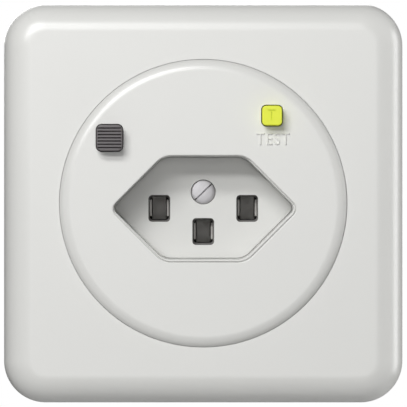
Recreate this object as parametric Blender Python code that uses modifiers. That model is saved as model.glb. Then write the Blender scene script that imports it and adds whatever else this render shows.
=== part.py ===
"""Flush socket outlet with built-in residual-current protection.

X runs to the right, Z up and the front faces -Y. The origin is the centre of the wall plane:
the cover stands in front of it (Y < 0) and the working parts lie in the wall box behind it.
"""

import math

import bmesh
import bpy
from mathutils import Matrix, Vector

MM = 0.001

# Fits
SEAT_GAP = 0.3 * MM  # air between pieces that rest on each other
BUTTON_GAP = 0.25 * MM  # air round a sliding button in the centre plate
OVERCUT = 1.0 * MM  # how far a cutter runs past the wall that it cuts
ROOT = 0.7 * MM  # how deep a boss or rib is rooted in the wall that carries it

# Cover frame
COVER_WIDTH = 86.0 * MM
COVER_HEIGHT = 86.0 * MM
COVER_STANDOFF = 8.5 * MM
COVER_CORNER_RADIUS = 9.0 * MM
COVER_EDGE_RADIUS = 6.0 * MM
COVER_WALL = 2.0 * MM
COVER_HOLE_GAP = 0.3 * MM
LEDGE_WIDTH = 1.8 * MM
LEDGE_THICKNESS = 2.0 * MM

# Centre plate: a round disc and the hexagonal plug recess, moulded in one
DISC_DIAMETER = 62.0 * MM
DISC_PROUD = 1.2 * MM
DISC_WALL = 2.2 * MM
DISC_EDGE_RADIUS = 2.0 * MM
RECESS_WIDTH = 40.4 * MM
RECESS_HEIGHT = 22.8 * MM
RECESS_DEPTH = 12.0 * MM
RECESS_CENTRE_Z = -1.0 * MM
RECESS_DRAFT = 0.72 * MM
RECESS_CORNER_RADIUS = 3.8 * MM
RECESS_TIP_RADIUS = 1.6 * MM
RECESS_RIM_RADIUS = 0.45 * MM
CUP_WALL = 1.6 * MM
CUP_FLOOR = 2.0 * MM

# Pin holes: the line and neutral pins lie level, the earth pin below them
PIN_SPACING = 19.0 * MM
EARTH_PIN_DROP = 5.0 * MM
PIN_HOLE_WIDTH = 4.7 * MM
PIN_HOLE_HEIGHT = 5.6 * MM
PIN_HOLE_RADIUS = 0.8 * MM

# Centre screw
CENTRE_SCREW_Z = 2.43 * MM
CENTRE_SCREW_HEAD = 5.1 * MM
CENTRE_SCREW_THREAD = 3.0 * MM
CENTRE_SCREW_CONE = 1.3 * MM
CENTRE_SCREW_DOME = 0.4 * MM
CENTRE_SCREW_LENGTH = 9.4 * MM
CENTRE_BOSS_DIAMETER = 6.4 * MM
CENTRE_BOSS_LENGTH = 5.6 * MM
SLOT_WIDTH = 0.55 * MM
SLOT_DEPTH = 0.6 * MM
CENTRE_SLOT_ANGLE = math.radians(43.5)

# Reset button
RESET_X = -20.27 * MM
RESET_Z = 14.13 * MM
RESET_WIDTH = 6.0 * MM
RESET_HEIGHT = 6.08 * MM
RESET_PROUD = 3.3 * MM
RESET_CORNER_RADIUS = 1.1 * MM
RESET_TRAVEL = 3.0 * MM
RESET_RIB_PITCH = 0.7 * MM
RESET_RIB_COUNT = 8
RESET_RIB_MARGIN = 0.45 * MM
RESET_GROOVE_WIDTH = 0.3 * MM
RESET_GROOVE_DEPTH = 0.3 * MM
RESET_STEM_WIDTH = 4.0 * MM
RESET_FLANGE_LIP = 0.8 * MM

# Test button
TEST_X = 14.78 * MM
TEST_Z = 18.9 * MM
TEST_WIDTH = 4.8 * MM
TEST_PROUD = 3.3 * MM
TEST_CORNER_RADIUS = 0.9 * MM
TEST_TRAVEL = 2.5 * MM
TEST_STEM_DIAMETER = 2.6 * MM
TEST_FLANGE_LIP = 1.0 * MM
TEST_SHELF_DEPTH = 8.0 * MM
TEST_SHELF_THICKNESS = 1.6 * MM
TEST_CLIP_WIDTH = 7.6 * MM
TEST_CLIP_HEIGHT = 2.4 * MM
TEST_CLIP_THICKNESS = 0.6 * MM
TEST_POST_WIDTH = 1.2 * MM
BUTTON_EDGE_RADIUS = 0.3 * MM
FLANGE_THICKNESS = 1.2 * MM

# Support frame
STRAP_SIZE = 71.0 * MM
STRAP_THICKNESS = 1.2 * MM
STRAP_CORNER_RADIUS = 4.0 * MM
FIXING_SPACING = 60.0 * MM
FIXING_SLOT_WIDTH = 3.8 * MM
FIXING_SLOT_LENGTH = 9.0 * MM

# Housing: a neck through the support frame, a box behind it and a rear cup
NECK_SIZE = 52.0 * MM
NECK_CHAMFER = 6.0 * MM
NECK_WALL = 1.6 * MM
NECK_CLEARANCE = 0.6 * MM
WELL_WALL = 1.2 * MM
WELL_FLOOR = 2.0 * MM
BOX_SIZE = 56.0 * MM
BOX_WALL = 2.0 * MM
BOX_CORNER_RADIUS = 2.5 * MM
FRONT_BOX_DEPTH = 23.7 * MM
REAR_BOX_DEPTH = 16.7 * MM

# Housing screws
HOUSING_SCREW_SPACING = 50.8 * MM
HOUSING_SCREW_THREAD = 2.5 * MM
HOUSING_SCREW_HEAD = 4.4 * MM
HOUSING_SCREW_HEAD_HEIGHT = 1.5 * MM
HOUSING_SCREW_LENGTH = 36.0 * MM
HOUSING_BOSS_DIAMETER = 5.0 * MM

# Chassis plate
CHASSIS_THICKNESS = 2.0 * MM

# Socket contacts
CONTACT_METAL = 0.6 * MM
CONTACT_HEIGHT = 5.0 * MM
CONTACT_THROAT = 3.6 * MM
CONTACT_MOUTH = 5.4 * MM
CONTACT_BODY_WIDTH = 5.0 * MM
CONTACT_FLARE_LENGTH = 3.4 * MM
CONTACT_JAW_LENGTH = 1.4 * MM
CONTACT_TAPER_LENGTH = 3.3 * MM
CONTACT_SETBACK = 3.9 * MM
TAIL_WIDTH = 3.0 * MM

# Switch contacts: a bridge on the carriage joins two fixed contacts in each pole
POLE_GAP = 5.4 * MM
RIVET_DIAMETER = 2.4 * MM
RIVET_THICKNESS = 0.7 * MM
BRIDGE_LENGTH = 8.0 * MM
BRIDGE_HEIGHT = 3.0 * MM
BRIDGE_METAL = 0.6 * MM

# Contact carriage
CARRIAGE_DEPTH = 4.0 * MM
CARRIAGE_HEIGHT = 6.0 * MM
CARRIAGE_END_MARGIN = 1.0 * MM
CATCH_WIDTH = 4.0 * MM
CATCH_HEIGHT = 2.1 * MM
CATCH_CREST = 1.4 * MM

# Latch
LATCH_WIDTH = 5.0 * MM
LATCH_PIN_DIAMETER = 1.6 * MM
LATCH_PIVOT_SETBACK = 2.6 * MM
LATCH_PIVOT_RISE = 3.9 * MM
LATCH_EYE_RADIUS = 1.9 * MM
LATCH_ARM = 1.6 * MM
LATCH_HOOK = 1.5 * MM
LATCH_TOE_DROP = 3.4 * MM
LATCH_EAR_THICKNESS = 1.2 * MM

# Springs
SPRING_WIRE = 0.5 * MM
POINTS_PER_TURN = 8
OPENING_SPRING_DIAMETER = 4.6 * MM
OPENING_SPRING_TURNS = 5
TEST_SPRING_DIAMETER = 4.4 * MM
TEST_SPRING_TURNS = 5
LATCH_SPRING_DIAMETER = 3.0 * MM
LATCH_SPRING_TURNS = 3

# Terminals
TERMINAL_WIDTH = 7.0 * MM
TERMINAL_HEIGHT = 5.6 * MM
TERMINAL_LENGTH = 8.4 * MM
TERMINAL_CAGE_WIDTH = 4.0 * MM
TERMINAL_CAGE_HEIGHT = 3.2 * MM
TERMINAL_WALL_GAP = 2.0 * MM
INNER_TERMINAL_X = 8.7 * MM
TERMINAL_PITCH = 7.6 * MM
EARTH_TERMINAL_X = 8.7 * MM
TERMINAL_SCREW_THREAD = 2.4 * MM
TERMINAL_SCREW_HEAD = 3.6 * MM
TERMINAL_SCREW_HEAD_HEIGHT = 1.2 * MM
WIRE_ENTRY_DIAMETER = 3.4 * MM
EARTH_STRIP_HEIGHT = 3.0 * MM
EARTH_STRIP_METAL = 0.8 * MM

# Summation transformer
TOROID_WALL_GAP = 2.7 * MM
TOROID_Z = 3.0 * MM
TOROID_RADIUS = 6.9 * MM
CORE_RADIUS = 2.5 * MM
WINDING_WIRE = 0.6 * MM
WINDING_TURNS = 12
WINDING_START = math.radians(20)
WINDING_SWEEP = math.radians(320)
CRADLE_HEIGHT = 1.7 * MM
CRADLE_HALF_WIDTH = 1.0 * MM
LEAD_DIAMETER = 1.6 * MM
LEAD_OFFSET = 1.2 * MM

# Trip relay
RELAY_WIDTH = 9.0 * MM
RELAY_HEIGHT = 10.0 * MM
RELAY_LENGTH = 9.5 * MM
RELAY_WALL_GAP = 1.4 * MM
PLUNGER_DIAMETER = 1.6 * MM

# Circuit board
BOARD_WIDTH = 22.0 * MM
BOARD_HEIGHT = 24.0 * MM
BOARD_THICKNESS = 1.2 * MM
BOARD_WALL_GAP = 2.5 * MM
BOARD_MARGIN = 2.0 * MM
BOARD_CENTRE_Z = -2.0 * MM
RESISTOR_DIAMETER = 3.2 * MM
RESISTOR_LENGTH = 9.0 * MM
CAPACITOR_WIDTH = 10.0 * MM
CAPACITOR_HEIGHT = 7.0 * MM
CAPACITOR_DEPTH = 5.0 * MM
VARISTOR_DIAMETER = 7.0 * MM
VARISTOR_THICKNESS = 3.6 * MM

# Depths from the wall plane, front to back
Y_COVER = -COVER_STANDOFF
Y_DISC = Y_COVER - DISC_PROUD
Y_DISC_BACK = Y_DISC + DISC_WALL
Y_LEDGE = Y_DISC_BACK + SEAT_GAP
Y_LEDGE_BACK = Y_LEDGE + LEDGE_THICKNESS
Y_NECK = Y_LEDGE_BACK + NECK_CLEARANCE
Y_NECK_INSIDE = Y_NECK + NECK_WALL
Y_FLOOR = Y_DISC + RECESS_DEPTH
Y_FLOOR_BACK = Y_FLOOR + CUP_FLOOR
Y_WELL = Y_FLOOR_BACK + SEAT_GAP
Y_WELL_BACK = Y_WELL + WELL_FLOOR
Y_BOX = SEAT_GAP
Y_BOX_BACK = Y_BOX + FRONT_BOX_DEPTH
Y_REAR = Y_BOX_BACK + SEAT_GAP
Y_REAR_BACK = Y_REAR + REAR_BOX_DEPTH
Y_CHASSIS = Y_REAR + SEAT_GAP
Y_CHASSIS_BACK = Y_CHASSIS + CHASSIS_THICKNESS
Y_CONTACT = Y_WELL_BACK + 2 * SEAT_GAP
Y_CONTACT_BASE = Y_CHASSIS - CONTACT_SETBACK
Y_FIXED = Y_CONTACT_BASE - SEAT_GAP - RIVET_THICKNESS
Y_BRIDGE = Y_FIXED - SEAT_GAP - RIVET_THICKNESS - BRIDGE_METAL
Y_CARRIAGE_BACK = Y_BRIDGE - SEAT_GAP
Y_CARRIAGE = Y_CARRIAGE_BACK - CARRIAGE_DEPTH
Y_BEHIND = Y_CHASSIS_BACK + SEAT_GAP
Y_RESET_STOP = Y_NECK_INSIDE + SEAT_GAP + RESET_TRAVEL
Y_TEST_STOP = Y_NECK_INSIDE + SEAT_GAP
Y_SHELF = Y_NECK_INSIDE + TEST_SHELF_DEPTH

BOSS_REACH = HOUSING_SCREW_SPACING / 2
BOX_INSIDE = BOX_SIZE / 2 - BOX_WALL
TERMINAL_LEVEL = BOX_INSIDE - TERMINAL_WALL_GAP - TERMINAL_HEIGHT / 2
OUTER_TERMINAL_X = INNER_TERMINAL_X + TERMINAL_PITCH
BOARD_CENTRE_X = BOX_INSIDE - BOARD_WALL_GAP - BOARD_WIDTH / 2
WINDING_RADIUS = CORE_RADIUS + SEAT_GAP + WINDING_WIRE / 2
TOROID_REACH = TOROID_RADIUS + WINDING_RADIUS + WINDING_WIRE / 2
TOROID_X = TOROID_WALL_GAP + TOROID_REACH - BOX_INSIDE
TOROID_Y = Y_CHASSIS_BACK + CRADLE_HEIGHT + SEAT_GAP + WINDING_RADIUS + WINDING_WIRE / 2
NEUTRAL_LEAD_Z = RESET_Z - CARRIAGE_HEIGHT
LEAD_LEVEL_Y = Y_CHASSIS - SEAT_GAP - LEAD_DIAMETER / 2 - SEAT_GAP
LATCH_PIVOT_Y = Y_CHASSIS - LATCH_PIVOT_SETBACK
CARRIAGE_TOP = RESET_Z + CARRIAGE_HEIGHT / 2
LATCH_PIVOT_Z = CARRIAGE_TOP + LATCH_PIVOT_RISE
RELAY_Z = LATCH_PIVOT_Z - LATCH_TOE_DROP + PLUNGER_DIAMETER / 2

LINE_X = -PIN_SPACING / 2
NEUTRAL_X = PIN_SPACING / 2
LIVE_PIN_Z = RECESS_CENTRE_Z
EARTH_PIN_Z = LIVE_PIN_Z - EARTH_PIN_DROP
PIN_CENTRES = ((LINE_X, LIVE_PIN_Z), (NEUTRAL_X, LIVE_PIN_Z), (0.0, EARTH_PIN_Z))
CORNERS = ((-1, 1, "upper_left"), (1, 1, "upper_right"), (-1, -1, "lower_left"), (1, -1, "lower_right"))


# Scene and helpers


def clear_scene():
    for old in list(bpy.data.objects):
        bpy.data.objects.remove(old, do_unlink=True)


def make_collection(name, hidden=False):
    collection = bpy.data.collections.new(name)
    collection.hide_render = hidden
    bpy.context.scene.collection.children.link(collection)
    return collection


clear_scene()
PARTS = make_collection("socket_outlet")
CUTTERS = make_collection("cutters", hidden=True)


def material(name, colour, roughness, metallic=0.0):
    surface = bpy.data.materials.new(name)
    surface.use_nodes = True
    shader = surface.node_tree.nodes["Principled BSDF"]
    shader.inputs["Base Color"].default_value = (*colour, 1.0)
    shader.inputs["Roughness"].default_value = roughness
    shader.inputs["Metallic"].default_value = metallic
    return surface


def finish(obj, surface, origin=None, smooth=True):
    """Names the piece as part of the object, gives it its material and sets its origin."""
    CUTTERS.objects.unlink(obj)
    PARTS.objects.link(obj)
    obj.hide_render = False
    obj.display_type = "TEXTURED"
    obj.data.materials.clear()
    obj.data.materials.append(surface)
    if obj.type == "MESH" and smooth:
        obj.data.shade_smooth()
        obj.data.set_sharp_from_angle(angle=math.radians(35))
    if origin is not None:
        obj.data.transform(Matrix.Translation(-Vector(origin)))
        obj.location = origin
    return obj


def helper(name, data):
    """Links new data as a hidden helper: a cutter, or a piece that isn't finished yet."""
    obj = bpy.data.objects.new(name, data)
    obj.hide_render = True
    obj.display_type = "WIRE"
    CUTTERS.objects.link(obj)
    return obj


def mesh_object(name, bm):
    """Makes a hidden helper from a closed bmesh, with its faces turned outwards."""
    bmesh.ops.recalc_face_normals(bm, faces=bm.faces)
    if bm.calc_volume(signed=True) < 0:
        bmesh.ops.reverse_faces(bm, faces=bm.faces)
    mesh = bpy.data.meshes.new(name)
    bm.to_mesh(mesh)
    bm.free()
    return helper(name, mesh)


def block(name, x, y, z):
    """A box between the given low and high values on each axis."""
    bm = bmesh.new()
    bmesh.ops.create_cube(bm, size=1.0)
    size = Vector((x[1] - x[0], y[1] - y[0], z[1] - z[0]))
    centre = Vector((x[0] + x[1], y[0] + y[1], z[0] + z[1])) / 2
    bmesh.ops.scale(bm, vec=size, verts=bm.verts)
    bmesh.ops.translate(bm, vec=centre, verts=bm.verts)
    return mesh_object(name, bm)


def around(centre, width):
    return (centre - width / 2, centre + width / 2)


def soft_block(name, x, y, z, corner_radius, edge_radius, corner_steps=4, edge_steps=2):
    """A box with round corners seen from the front and a rounded front edge."""
    obj = block(name, x, y, z)
    bm = bmesh.new()
    bm.from_mesh(obj.data)
    tiny = 0.001 * MM
    deep = [e for e in bm.edges if abs(e.verts[0].co.y - e.verts[1].co.y) > tiny]
    bmesh.ops.bevel(bm, geom=deep, offset=corner_radius, segments=corner_steps, profile=0.5, affect="EDGES")
    front = [e for e in bm.edges if all(abs(v.co.y - y[0]) < tiny for v in e.verts)]
    bmesh.ops.bevel(bm, geom=front, offset=edge_radius, segments=edge_steps, profile=0.5, affect="EDGES")
    bm.to_mesh(obj.data)
    bm.free()
    return obj


def rod(name, diameter, start, end, sides=20):
    """A round bar from one point to another."""
    start = Vector(start)
    end = Vector(end)
    bm = bmesh.new()
    bmesh.ops.create_cone(
        bm,
        cap_ends=True,
        segments=sides,
        radius1=diameter / 2,
        radius2=diameter / 2,
        depth=(end - start).length,
    )
    turn = (end - start).to_track_quat("Z", "Y").to_matrix().to_4x4()
    bm.transform(Matrix.Translation((start + end) / 2) @ turn)
    return mesh_object(name, bm)


def turned(name, profile, x=0.0, z=0.0, steps=24, closed=False):
    """Turns a profile of (radius, depth) points about an axis along Y through (x, z)."""
    mesh = bpy.data.meshes.new(name)
    edges = [(i, i + 1) for i in range(len(profile) - 1)]
    if closed:
        edges.append((len(profile) - 1, 0))
    mesh.from_pydata([(radius, 0.0, -depth) for radius, depth in profile], edges, [])
    obj = helper(name, mesh)
    obj.rotation_euler.x = math.pi / 2
    obj.location = (x, 0.0, z)
    screw = obj.modifiers.new("turn", "SCREW")
    screw.steps = steps
    screw.render_steps = steps
    screw.use_merge_vertices = True
    screw.merge_threshold = 0.00001
    screw.use_normal_calculate = True
    return obj


def arc(centre, radius, start, end, steps):
    """Points on an arc, with the angles in degrees."""
    angles = [math.radians(start + (end - start) * i / steps) for i in range(steps + 1)]
    return [(centre[0] + radius * math.cos(a), centre[1] + radius * math.sin(a)) for a in angles]


def rounded_polygon(corners, radii, steps=4):
    """A closed outline through the corners, each one rounded to its own radius."""
    outline = []
    for i, corner in enumerate(corners):
        here = Vector(corner)
        back = (Vector(corners[i - 1]) - here).normalized()
        ahead = (Vector(corners[(i + 1) % len(corners)]) - here).normalized()
        radius = radii[i]
        if radius <= 0:
            outline.append(tuple(here))
            continue
        half = back.angle(ahead) / 2
        centre = here + (back + ahead).normalized() * radius / math.sin(half)
        first = here + back * radius / math.tan(half) - centre
        last = here + ahead * radius / math.tan(half) - centre
        for k in range(steps + 1):
            swing = first.slerp(last, k / steps)
            outline.append(tuple(centre + swing.normalized() * radius))
    return outline


def rectangle(centre, width, height, radius=0.0, steps=4):
    x0, x1 = around(centre[0], width)
    z0, z1 = around(centre[1], height)
    return rounded_polygon([(x0, z0), (x1, z0), (x1, z1), (x0, z1)], [radius] * 4, steps)


FACING_FRONT = Matrix(((1, 0, 0, 0), (0, 0, -1, 0), (0, 1, 0, 0), (0, 0, 0, 1)))
FACING_SIDE = Matrix(((0, 0, 1, 0), (1, 0, 0, 0), (0, 1, 0, 0), (0, 0, 0, 1)))


def outline_solid(name, outlines, low, high, facing=FACING_FRONT):
    """Extrudes flat outlines, the first one solid and the others holes, between two depths."""
    curve = bpy.data.curves.new(name, "CURVE")
    curve.dimensions = "2D"
    curve.fill_mode = "BOTH"
    curve.extrude = (high - low) / 2
    for outline in outlines:
        spline = curve.splines.new("POLY")
        spline.points.add(len(outline) - 1)
        for point, (u, v) in zip(spline.points, outline):
            point.co = (u, v, 0.0, 1.0)
        spline.use_cyclic_u = True
    guide = helper(name, curve)
    middle = (low + high) / 2
    guide.matrix_world = facing @ Matrix.Translation((0, 0, middle if facing is FACING_SIDE else -middle))
    bpy.context.view_layer.update()
    graph = bpy.context.evaluated_depsgraph_get()
    mesh = bpy.data.meshes.new_from_object(guide.evaluated_get(graph))
    mesh.transform(guide.matrix_world)
    bpy.data.objects.remove(guide, do_unlink=True)
    bm = bmesh.new()
    bm.from_mesh(mesh)
    bpy.data.meshes.remove(mesh)
    bmesh.ops.remove_doubles(bm, verts=bm.verts, dist=0.001 * MM)
    return mesh_object(name, bm)


def loft(name, sections):
    """Joins outlines of equal point counts, given as (depth, outline), front to back."""
    bm = bmesh.new()
    rings = [[bm.verts.new((x, depth, z)) for x, z in outline] for depth, outline in sections]
    for ring, following in zip(rings, rings[1:]):
        for i in range(len(ring)):
            j = (i + 1) % len(ring)
            bm.faces.new((ring[i], ring[j], following[j], following[i]))
    bm.faces.new(rings[0])
    bm.faces.new(rings[-1])
    return mesh_object(name, bm)


def smooth_path(points, steps=5):
    """Points on a smooth curve through the given ones."""
    knots = [Vector(p) for p in points]
    knots = [2 * knots[0] - knots[1]] + knots + [2 * knots[-1] - knots[-2]]
    path = [knots[1]]
    for a, b, c, d in zip(knots, knots[1:], knots[2:], knots[3:]):
        for i in range(1, steps + 1):
            t = i / steps
            bend = (2 * a - 5 * b + 4 * c - d) * t * t + (3 * b - a - 3 * c + d) * t * t * t
            path.append((2 * b + (c - a) * t + bend) / 2)
    return path


def wire(name, path, diameter, sides_level=2, closed=False):
    """A round wire or tube along a list of points."""
    curve = bpy.data.curves.new(name, "CURVE")
    curve.dimensions = "3D"
    curve.bevel_depth = diameter / 2
    curve.bevel_resolution = sides_level
    curve.use_fill_caps = not closed
    spline = curve.splines.new("POLY")
    spline.points.add(len(path) - 1)
    for point, place in zip(spline.points, path):
        point.co = (*place, 1.0)
    spline.use_cyclic_u = closed
    return helper(name, curve)


def coil_path(centre, diameter, turns, start, end, axis="Y"):
    """A helix about an axis along Y or Z, whose first and last half turns lie flat."""
    radius = diameter / 2 - SPRING_WIRE / 2
    count = turns * POINTS_PER_TURN
    path = []
    for i in range(count + 1):
        turn = i / POINTS_PER_TURN
        rise = min(max((turn - 0.5) / (turns - 1), 0.0), 1.0)
        along = start + SPRING_WIRE / 2 + (end - start - SPRING_WIRE) * rise
        u = radius * math.cos(2 * math.pi * turn)
        v = radius * math.sin(2 * math.pi * turn)
        if axis == "Y":
            path.append((centre[0] + u, along, centre[1] + v))
        else:
            path.append((centre[0] + u, centre[1] + v, along))
    return path


def boolean(target, other, operation):
    step = target.modifiers.new(other.name, "BOOLEAN")
    step.operation = operation
    step.solver = "EXACT"
    step.object = other


def cut(target, *cutters):
    for cutter in cutters:
        boolean(target, cutter, "DIFFERENCE")


def join(target, *pieces):
    for piece in pieces:
        boolean(target, piece, "UNION")


def recess_outline(offset):
    """The hexagon of the plug recess, moved outwards by the offset. Its flanks lie at 45 degrees."""
    half_height = RECESS_HEIGHT / 2 + offset
    half_width = RECESS_WIDTH / 2 + offset * math.sqrt(2)
    shoulder = half_width - half_height
    z = RECESS_CENTRE_Z
    corners = [
        (half_width, z),
        (shoulder, z + half_height),
        (-shoulder, z + half_height),
        (-half_width, z),
        (-shoulder, z - half_height),
        (shoulder, z - half_height),
    ]
    corner = max(RECESS_CORNER_RADIUS + offset, 0.3 * MM)
    tip = max(RECESS_TIP_RADIUS + offset, 0.3 * MM)
    return rounded_polygon(corners, [tip, corner, corner, tip, corner, corner], steps=4)


def pin_hole_cutters(name, extra, start, end):
    """A cutter for each pin hole, wider than the hole by the extra on every side."""
    return [
        outline_solid(
            f"{name}_{i}",
            [
                rectangle(
                    centre,
                    PIN_HOLE_WIDTH + 2 * extra,
                    PIN_HOLE_HEIGHT + 2 * extra,
                    PIN_HOLE_RADIUS + extra,
                    steps=3,
                )
            ],
            start,
            end,
        )
        for i, centre in enumerate(PIN_CENTRES)
    ]


def octagon(size, chamfer):
    """A square outline with its corners cut off at 45 degrees."""
    reach = size / 2
    short = reach - chamfer
    return [
        (reach, -short),
        (reach, short),
        (short, reach),
        (-short, reach),
        (-reach, short),
        (-reach, -short),
        (-short, -reach),
        (short, -reach),
    ]


# Materials

WHITE_PLASTIC = material("white_plastic", (0.79, 0.79, 0.76), 0.28)
DARK_PLASTIC = material("dark_button_plastic", (0.075, 0.065, 0.067), 0.45)
YELLOW_PLASTIC = material("yellow_button_plastic", (0.74, 0.79, 0.12), 0.4)
LIGHT_GREY_PLASTIC = material("light_grey_plastic", (0.55, 0.55, 0.53), 0.5)
DARK_GREY_PLASTIC = material("dark_grey_plastic", (0.16, 0.16, 0.17), 0.5)
ZINC_STEEL = material("zinc_plated_steel", (0.62, 0.62, 0.6), 0.35, 1.0)
BRIGHT_STEEL = material("bright_steel", (0.72, 0.72, 0.72), 0.25, 1.0)
CONTACT_BRONZE = material("contact_bronze", (0.63, 0.44, 0.24), 0.35, 1.0)
TERMINAL_BRASS = material("terminal_brass", (0.72, 0.56, 0.27), 0.3, 1.0)
SILVER = material("contact_silver", (0.85, 0.85, 0.83), 0.3, 1.0)
FERRITE = material("core_casing", (0.05, 0.05, 0.055), 0.6)
COPPER = material("enamelled_copper", (0.6, 0.25, 0.1), 0.35, 1.0)
BROWN_LEAD = material("brown_insulation", (0.18, 0.07, 0.03), 0.5)
BLUE_LEAD = material("blue_insulation", (0.03, 0.12, 0.4), 0.5)
GREEN_BOARD = material("circuit_board_green", (0.02, 0.16, 0.07), 0.4)
BLUE_COATING = material("blue_component_coating", (0.03, 0.1, 0.35), 0.45)
BEIGE_COATING = material("beige_component_coating", (0.6, 0.48, 0.3), 0.5)


# Cover frame and centre plate


def make_cover_frame():
    """A hollow frame with a pillow edge. A ledge inside its round hole carries the disc's rim."""
    half_width = COVER_WIDTH / 2
    half_height = COVER_HEIGHT / 2
    shell = soft_block(
        "cover_frame",
        (-half_width, half_width),
        (Y_COVER, 0.0),
        (-half_height, half_height),
        COVER_CORNER_RADIUS,
        COVER_EDGE_RADIUS,
        corner_steps=8,
        edge_steps=6,
    )
    hollow = soft_block(
        "cover_hollow",
        (-half_width + COVER_WALL, half_width - COVER_WALL),
        (Y_COVER + COVER_WALL, OVERCUT),
        (-half_height + COVER_WALL, half_height - COVER_WALL),
        COVER_CORNER_RADIUS - COVER_WALL,
        COVER_EDGE_RADIUS - COVER_WALL,
        corner_steps=6,
        edge_steps=4,
    )
    hole_radius = DISC_DIAMETER / 2 + COVER_HOLE_GAP
    hole = rod("cover_hole", 2 * hole_radius, (0, Y_COVER - OVERCUT, 0), (0, Y_LEDGE, 0), sides=64)
    ledge_inside = DISC_DIAMETER / 2 - LEDGE_WIDTH
    ledge_outside = hole_radius + COVER_WALL
    ledge = turned(
        "cover_ledge",
        [
            (ledge_outside, Y_COVER + COVER_WALL - ROOT),
            (ledge_outside, Y_LEDGE_BACK),
            (ledge_inside, Y_LEDGE_BACK),
            (ledge_inside, Y_COVER + COVER_WALL - ROOT),
        ],
        steps=64,
        closed=True,
    )
    bore = rod("cover_bore", 2 * ledge_inside, (0, Y_COVER, 0), (0, OVERCUT, 0), sides=64)
    cut(shell, hollow)
    join(shell, ledge)
    cut(shell, hole, bore)
    finish(shell, WHITE_PLASTIC)


def make_centre_plate():
    """The disc with the drafted hexagonal recess, its pin holes, screw seat and button windows."""
    radius = DISC_DIAMETER / 2
    edge = arc((radius - DISC_EDGE_RADIUS, Y_DISC + DISC_EDGE_RADIUS), DISC_EDGE_RADIUS, -90, 0, 4)
    disc = turned("centre_plate", [(0, Y_DISC)] + edge + [(radius, Y_DISC_BACK), (0, Y_DISC_BACK)], steps=64)
    cup_back = recess_outline(CUP_WALL - RECESS_DRAFT)
    cup = loft("recess_cup", [(Y_DISC + ROOT, recess_outline(CUP_WALL)), (Y_FLOOR_BACK, cup_back)])
    rim = [
        (Y_DISC - OVERCUT, recess_outline(RECESS_RIM_RADIUS)),
        (Y_DISC, recess_outline(RECESS_RIM_RADIUS)),
        (Y_DISC + 0.3 * RECESS_RIM_RADIUS, recess_outline(0.3 * RECESS_RIM_RADIUS)),
        (Y_DISC + RECESS_RIM_RADIUS, recess_outline(0.0)),
        (Y_FLOOR, recess_outline(-RECESS_DRAFT)),
    ]
    recess = loft("recess_cutter", rim)
    join(disc, cup)
    cut(disc, recess)
    cut(disc, *pin_hole_cutters("plate_pin_hole", 0.0, Y_FLOOR - OVERCUT, Y_FLOOR_BACK + OVERCUT))
    cone_wide = CENTRE_SCREW_HEAD / 2 + SEAT_GAP / 2
    cone_narrow = CENTRE_SCREW_THREAD / 2 + SEAT_GAP
    seat = turned(
        "screw_seat",
        [
            (0, Y_FLOOR - OVERCUT),
            (cone_wide, Y_FLOOR - OVERCUT),
            (cone_wide, Y_FLOOR + SEAT_GAP / 2),
            (cone_narrow, Y_FLOOR + SEAT_GAP + CENTRE_SCREW_CONE),
            (cone_narrow, Y_FLOOR_BACK + OVERCUT),
            (0, Y_FLOOR_BACK + OVERCUT),
        ],
        z=CENTRE_SCREW_Z,
    )
    cut(disc, seat)
    windows = (
        (RESET_X, RESET_Z, RESET_WIDTH, RESET_HEIGHT, RESET_CORNER_RADIUS),
        (TEST_X, TEST_Z, TEST_WIDTH, TEST_WIDTH, TEST_CORNER_RADIUS),
    )
    for x, z, width, height, corner in windows:
        around_button = rectangle(
            (x, z), width + 2 * BUTTON_GAP, height + 2 * BUTTON_GAP, corner + BUTTON_GAP
        )
        cut(disc, outline_solid("button_window", [around_button], Y_DISC - OVERCUT, Y_DISC_BACK + OVERCUT))
    finish(disc, WHITE_PLASTIC)


def make_centre_screw():
    """The countersunk screw that clamps the plate, and with it the frame, to the housing."""
    head = CENTRE_SCREW_HEAD / 2
    thread = CENTRE_SCREW_THREAD / 2
    screw = turned(
        "centre_screw",
        [
            (0, Y_FLOOR - CENTRE_SCREW_DOME),
            (0.6 * head, Y_FLOOR - 0.7 * CENTRE_SCREW_DOME),
            (0.95 * head, Y_FLOOR - 0.2 * CENTRE_SCREW_DOME),
            (head, Y_FLOOR),
            (thread, Y_FLOOR + CENTRE_SCREW_CONE),
            (thread, Y_FLOOR + CENTRE_SCREW_LENGTH),
            (0, Y_FLOOR + CENTRE_SCREW_LENGTH),
        ],
        z=CENTRE_SCREW_Z,
    )
    slot = block(
        "centre_screw_slot",
        around(0, CENTRE_SCREW_HEAD + 2 * OVERCUT),
        (Y_FLOOR - CENTRE_SCREW_DOME - OVERCUT, Y_FLOOR - CENTRE_SCREW_DOME + SLOT_DEPTH),
        around(0, SLOT_WIDTH),
    )
    slot.location.z = CENTRE_SCREW_Z
    slot.rotation_euler.y = -CENTRE_SLOT_ANGLE
    cut(screw, slot)
    finish(screw, BRIGHT_STEEL)


# Support frame and housing


def screw_places():
    return [(side * BOSS_REACH, level * BOSS_REACH, name) for side, level, name in CORNERS]


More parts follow.
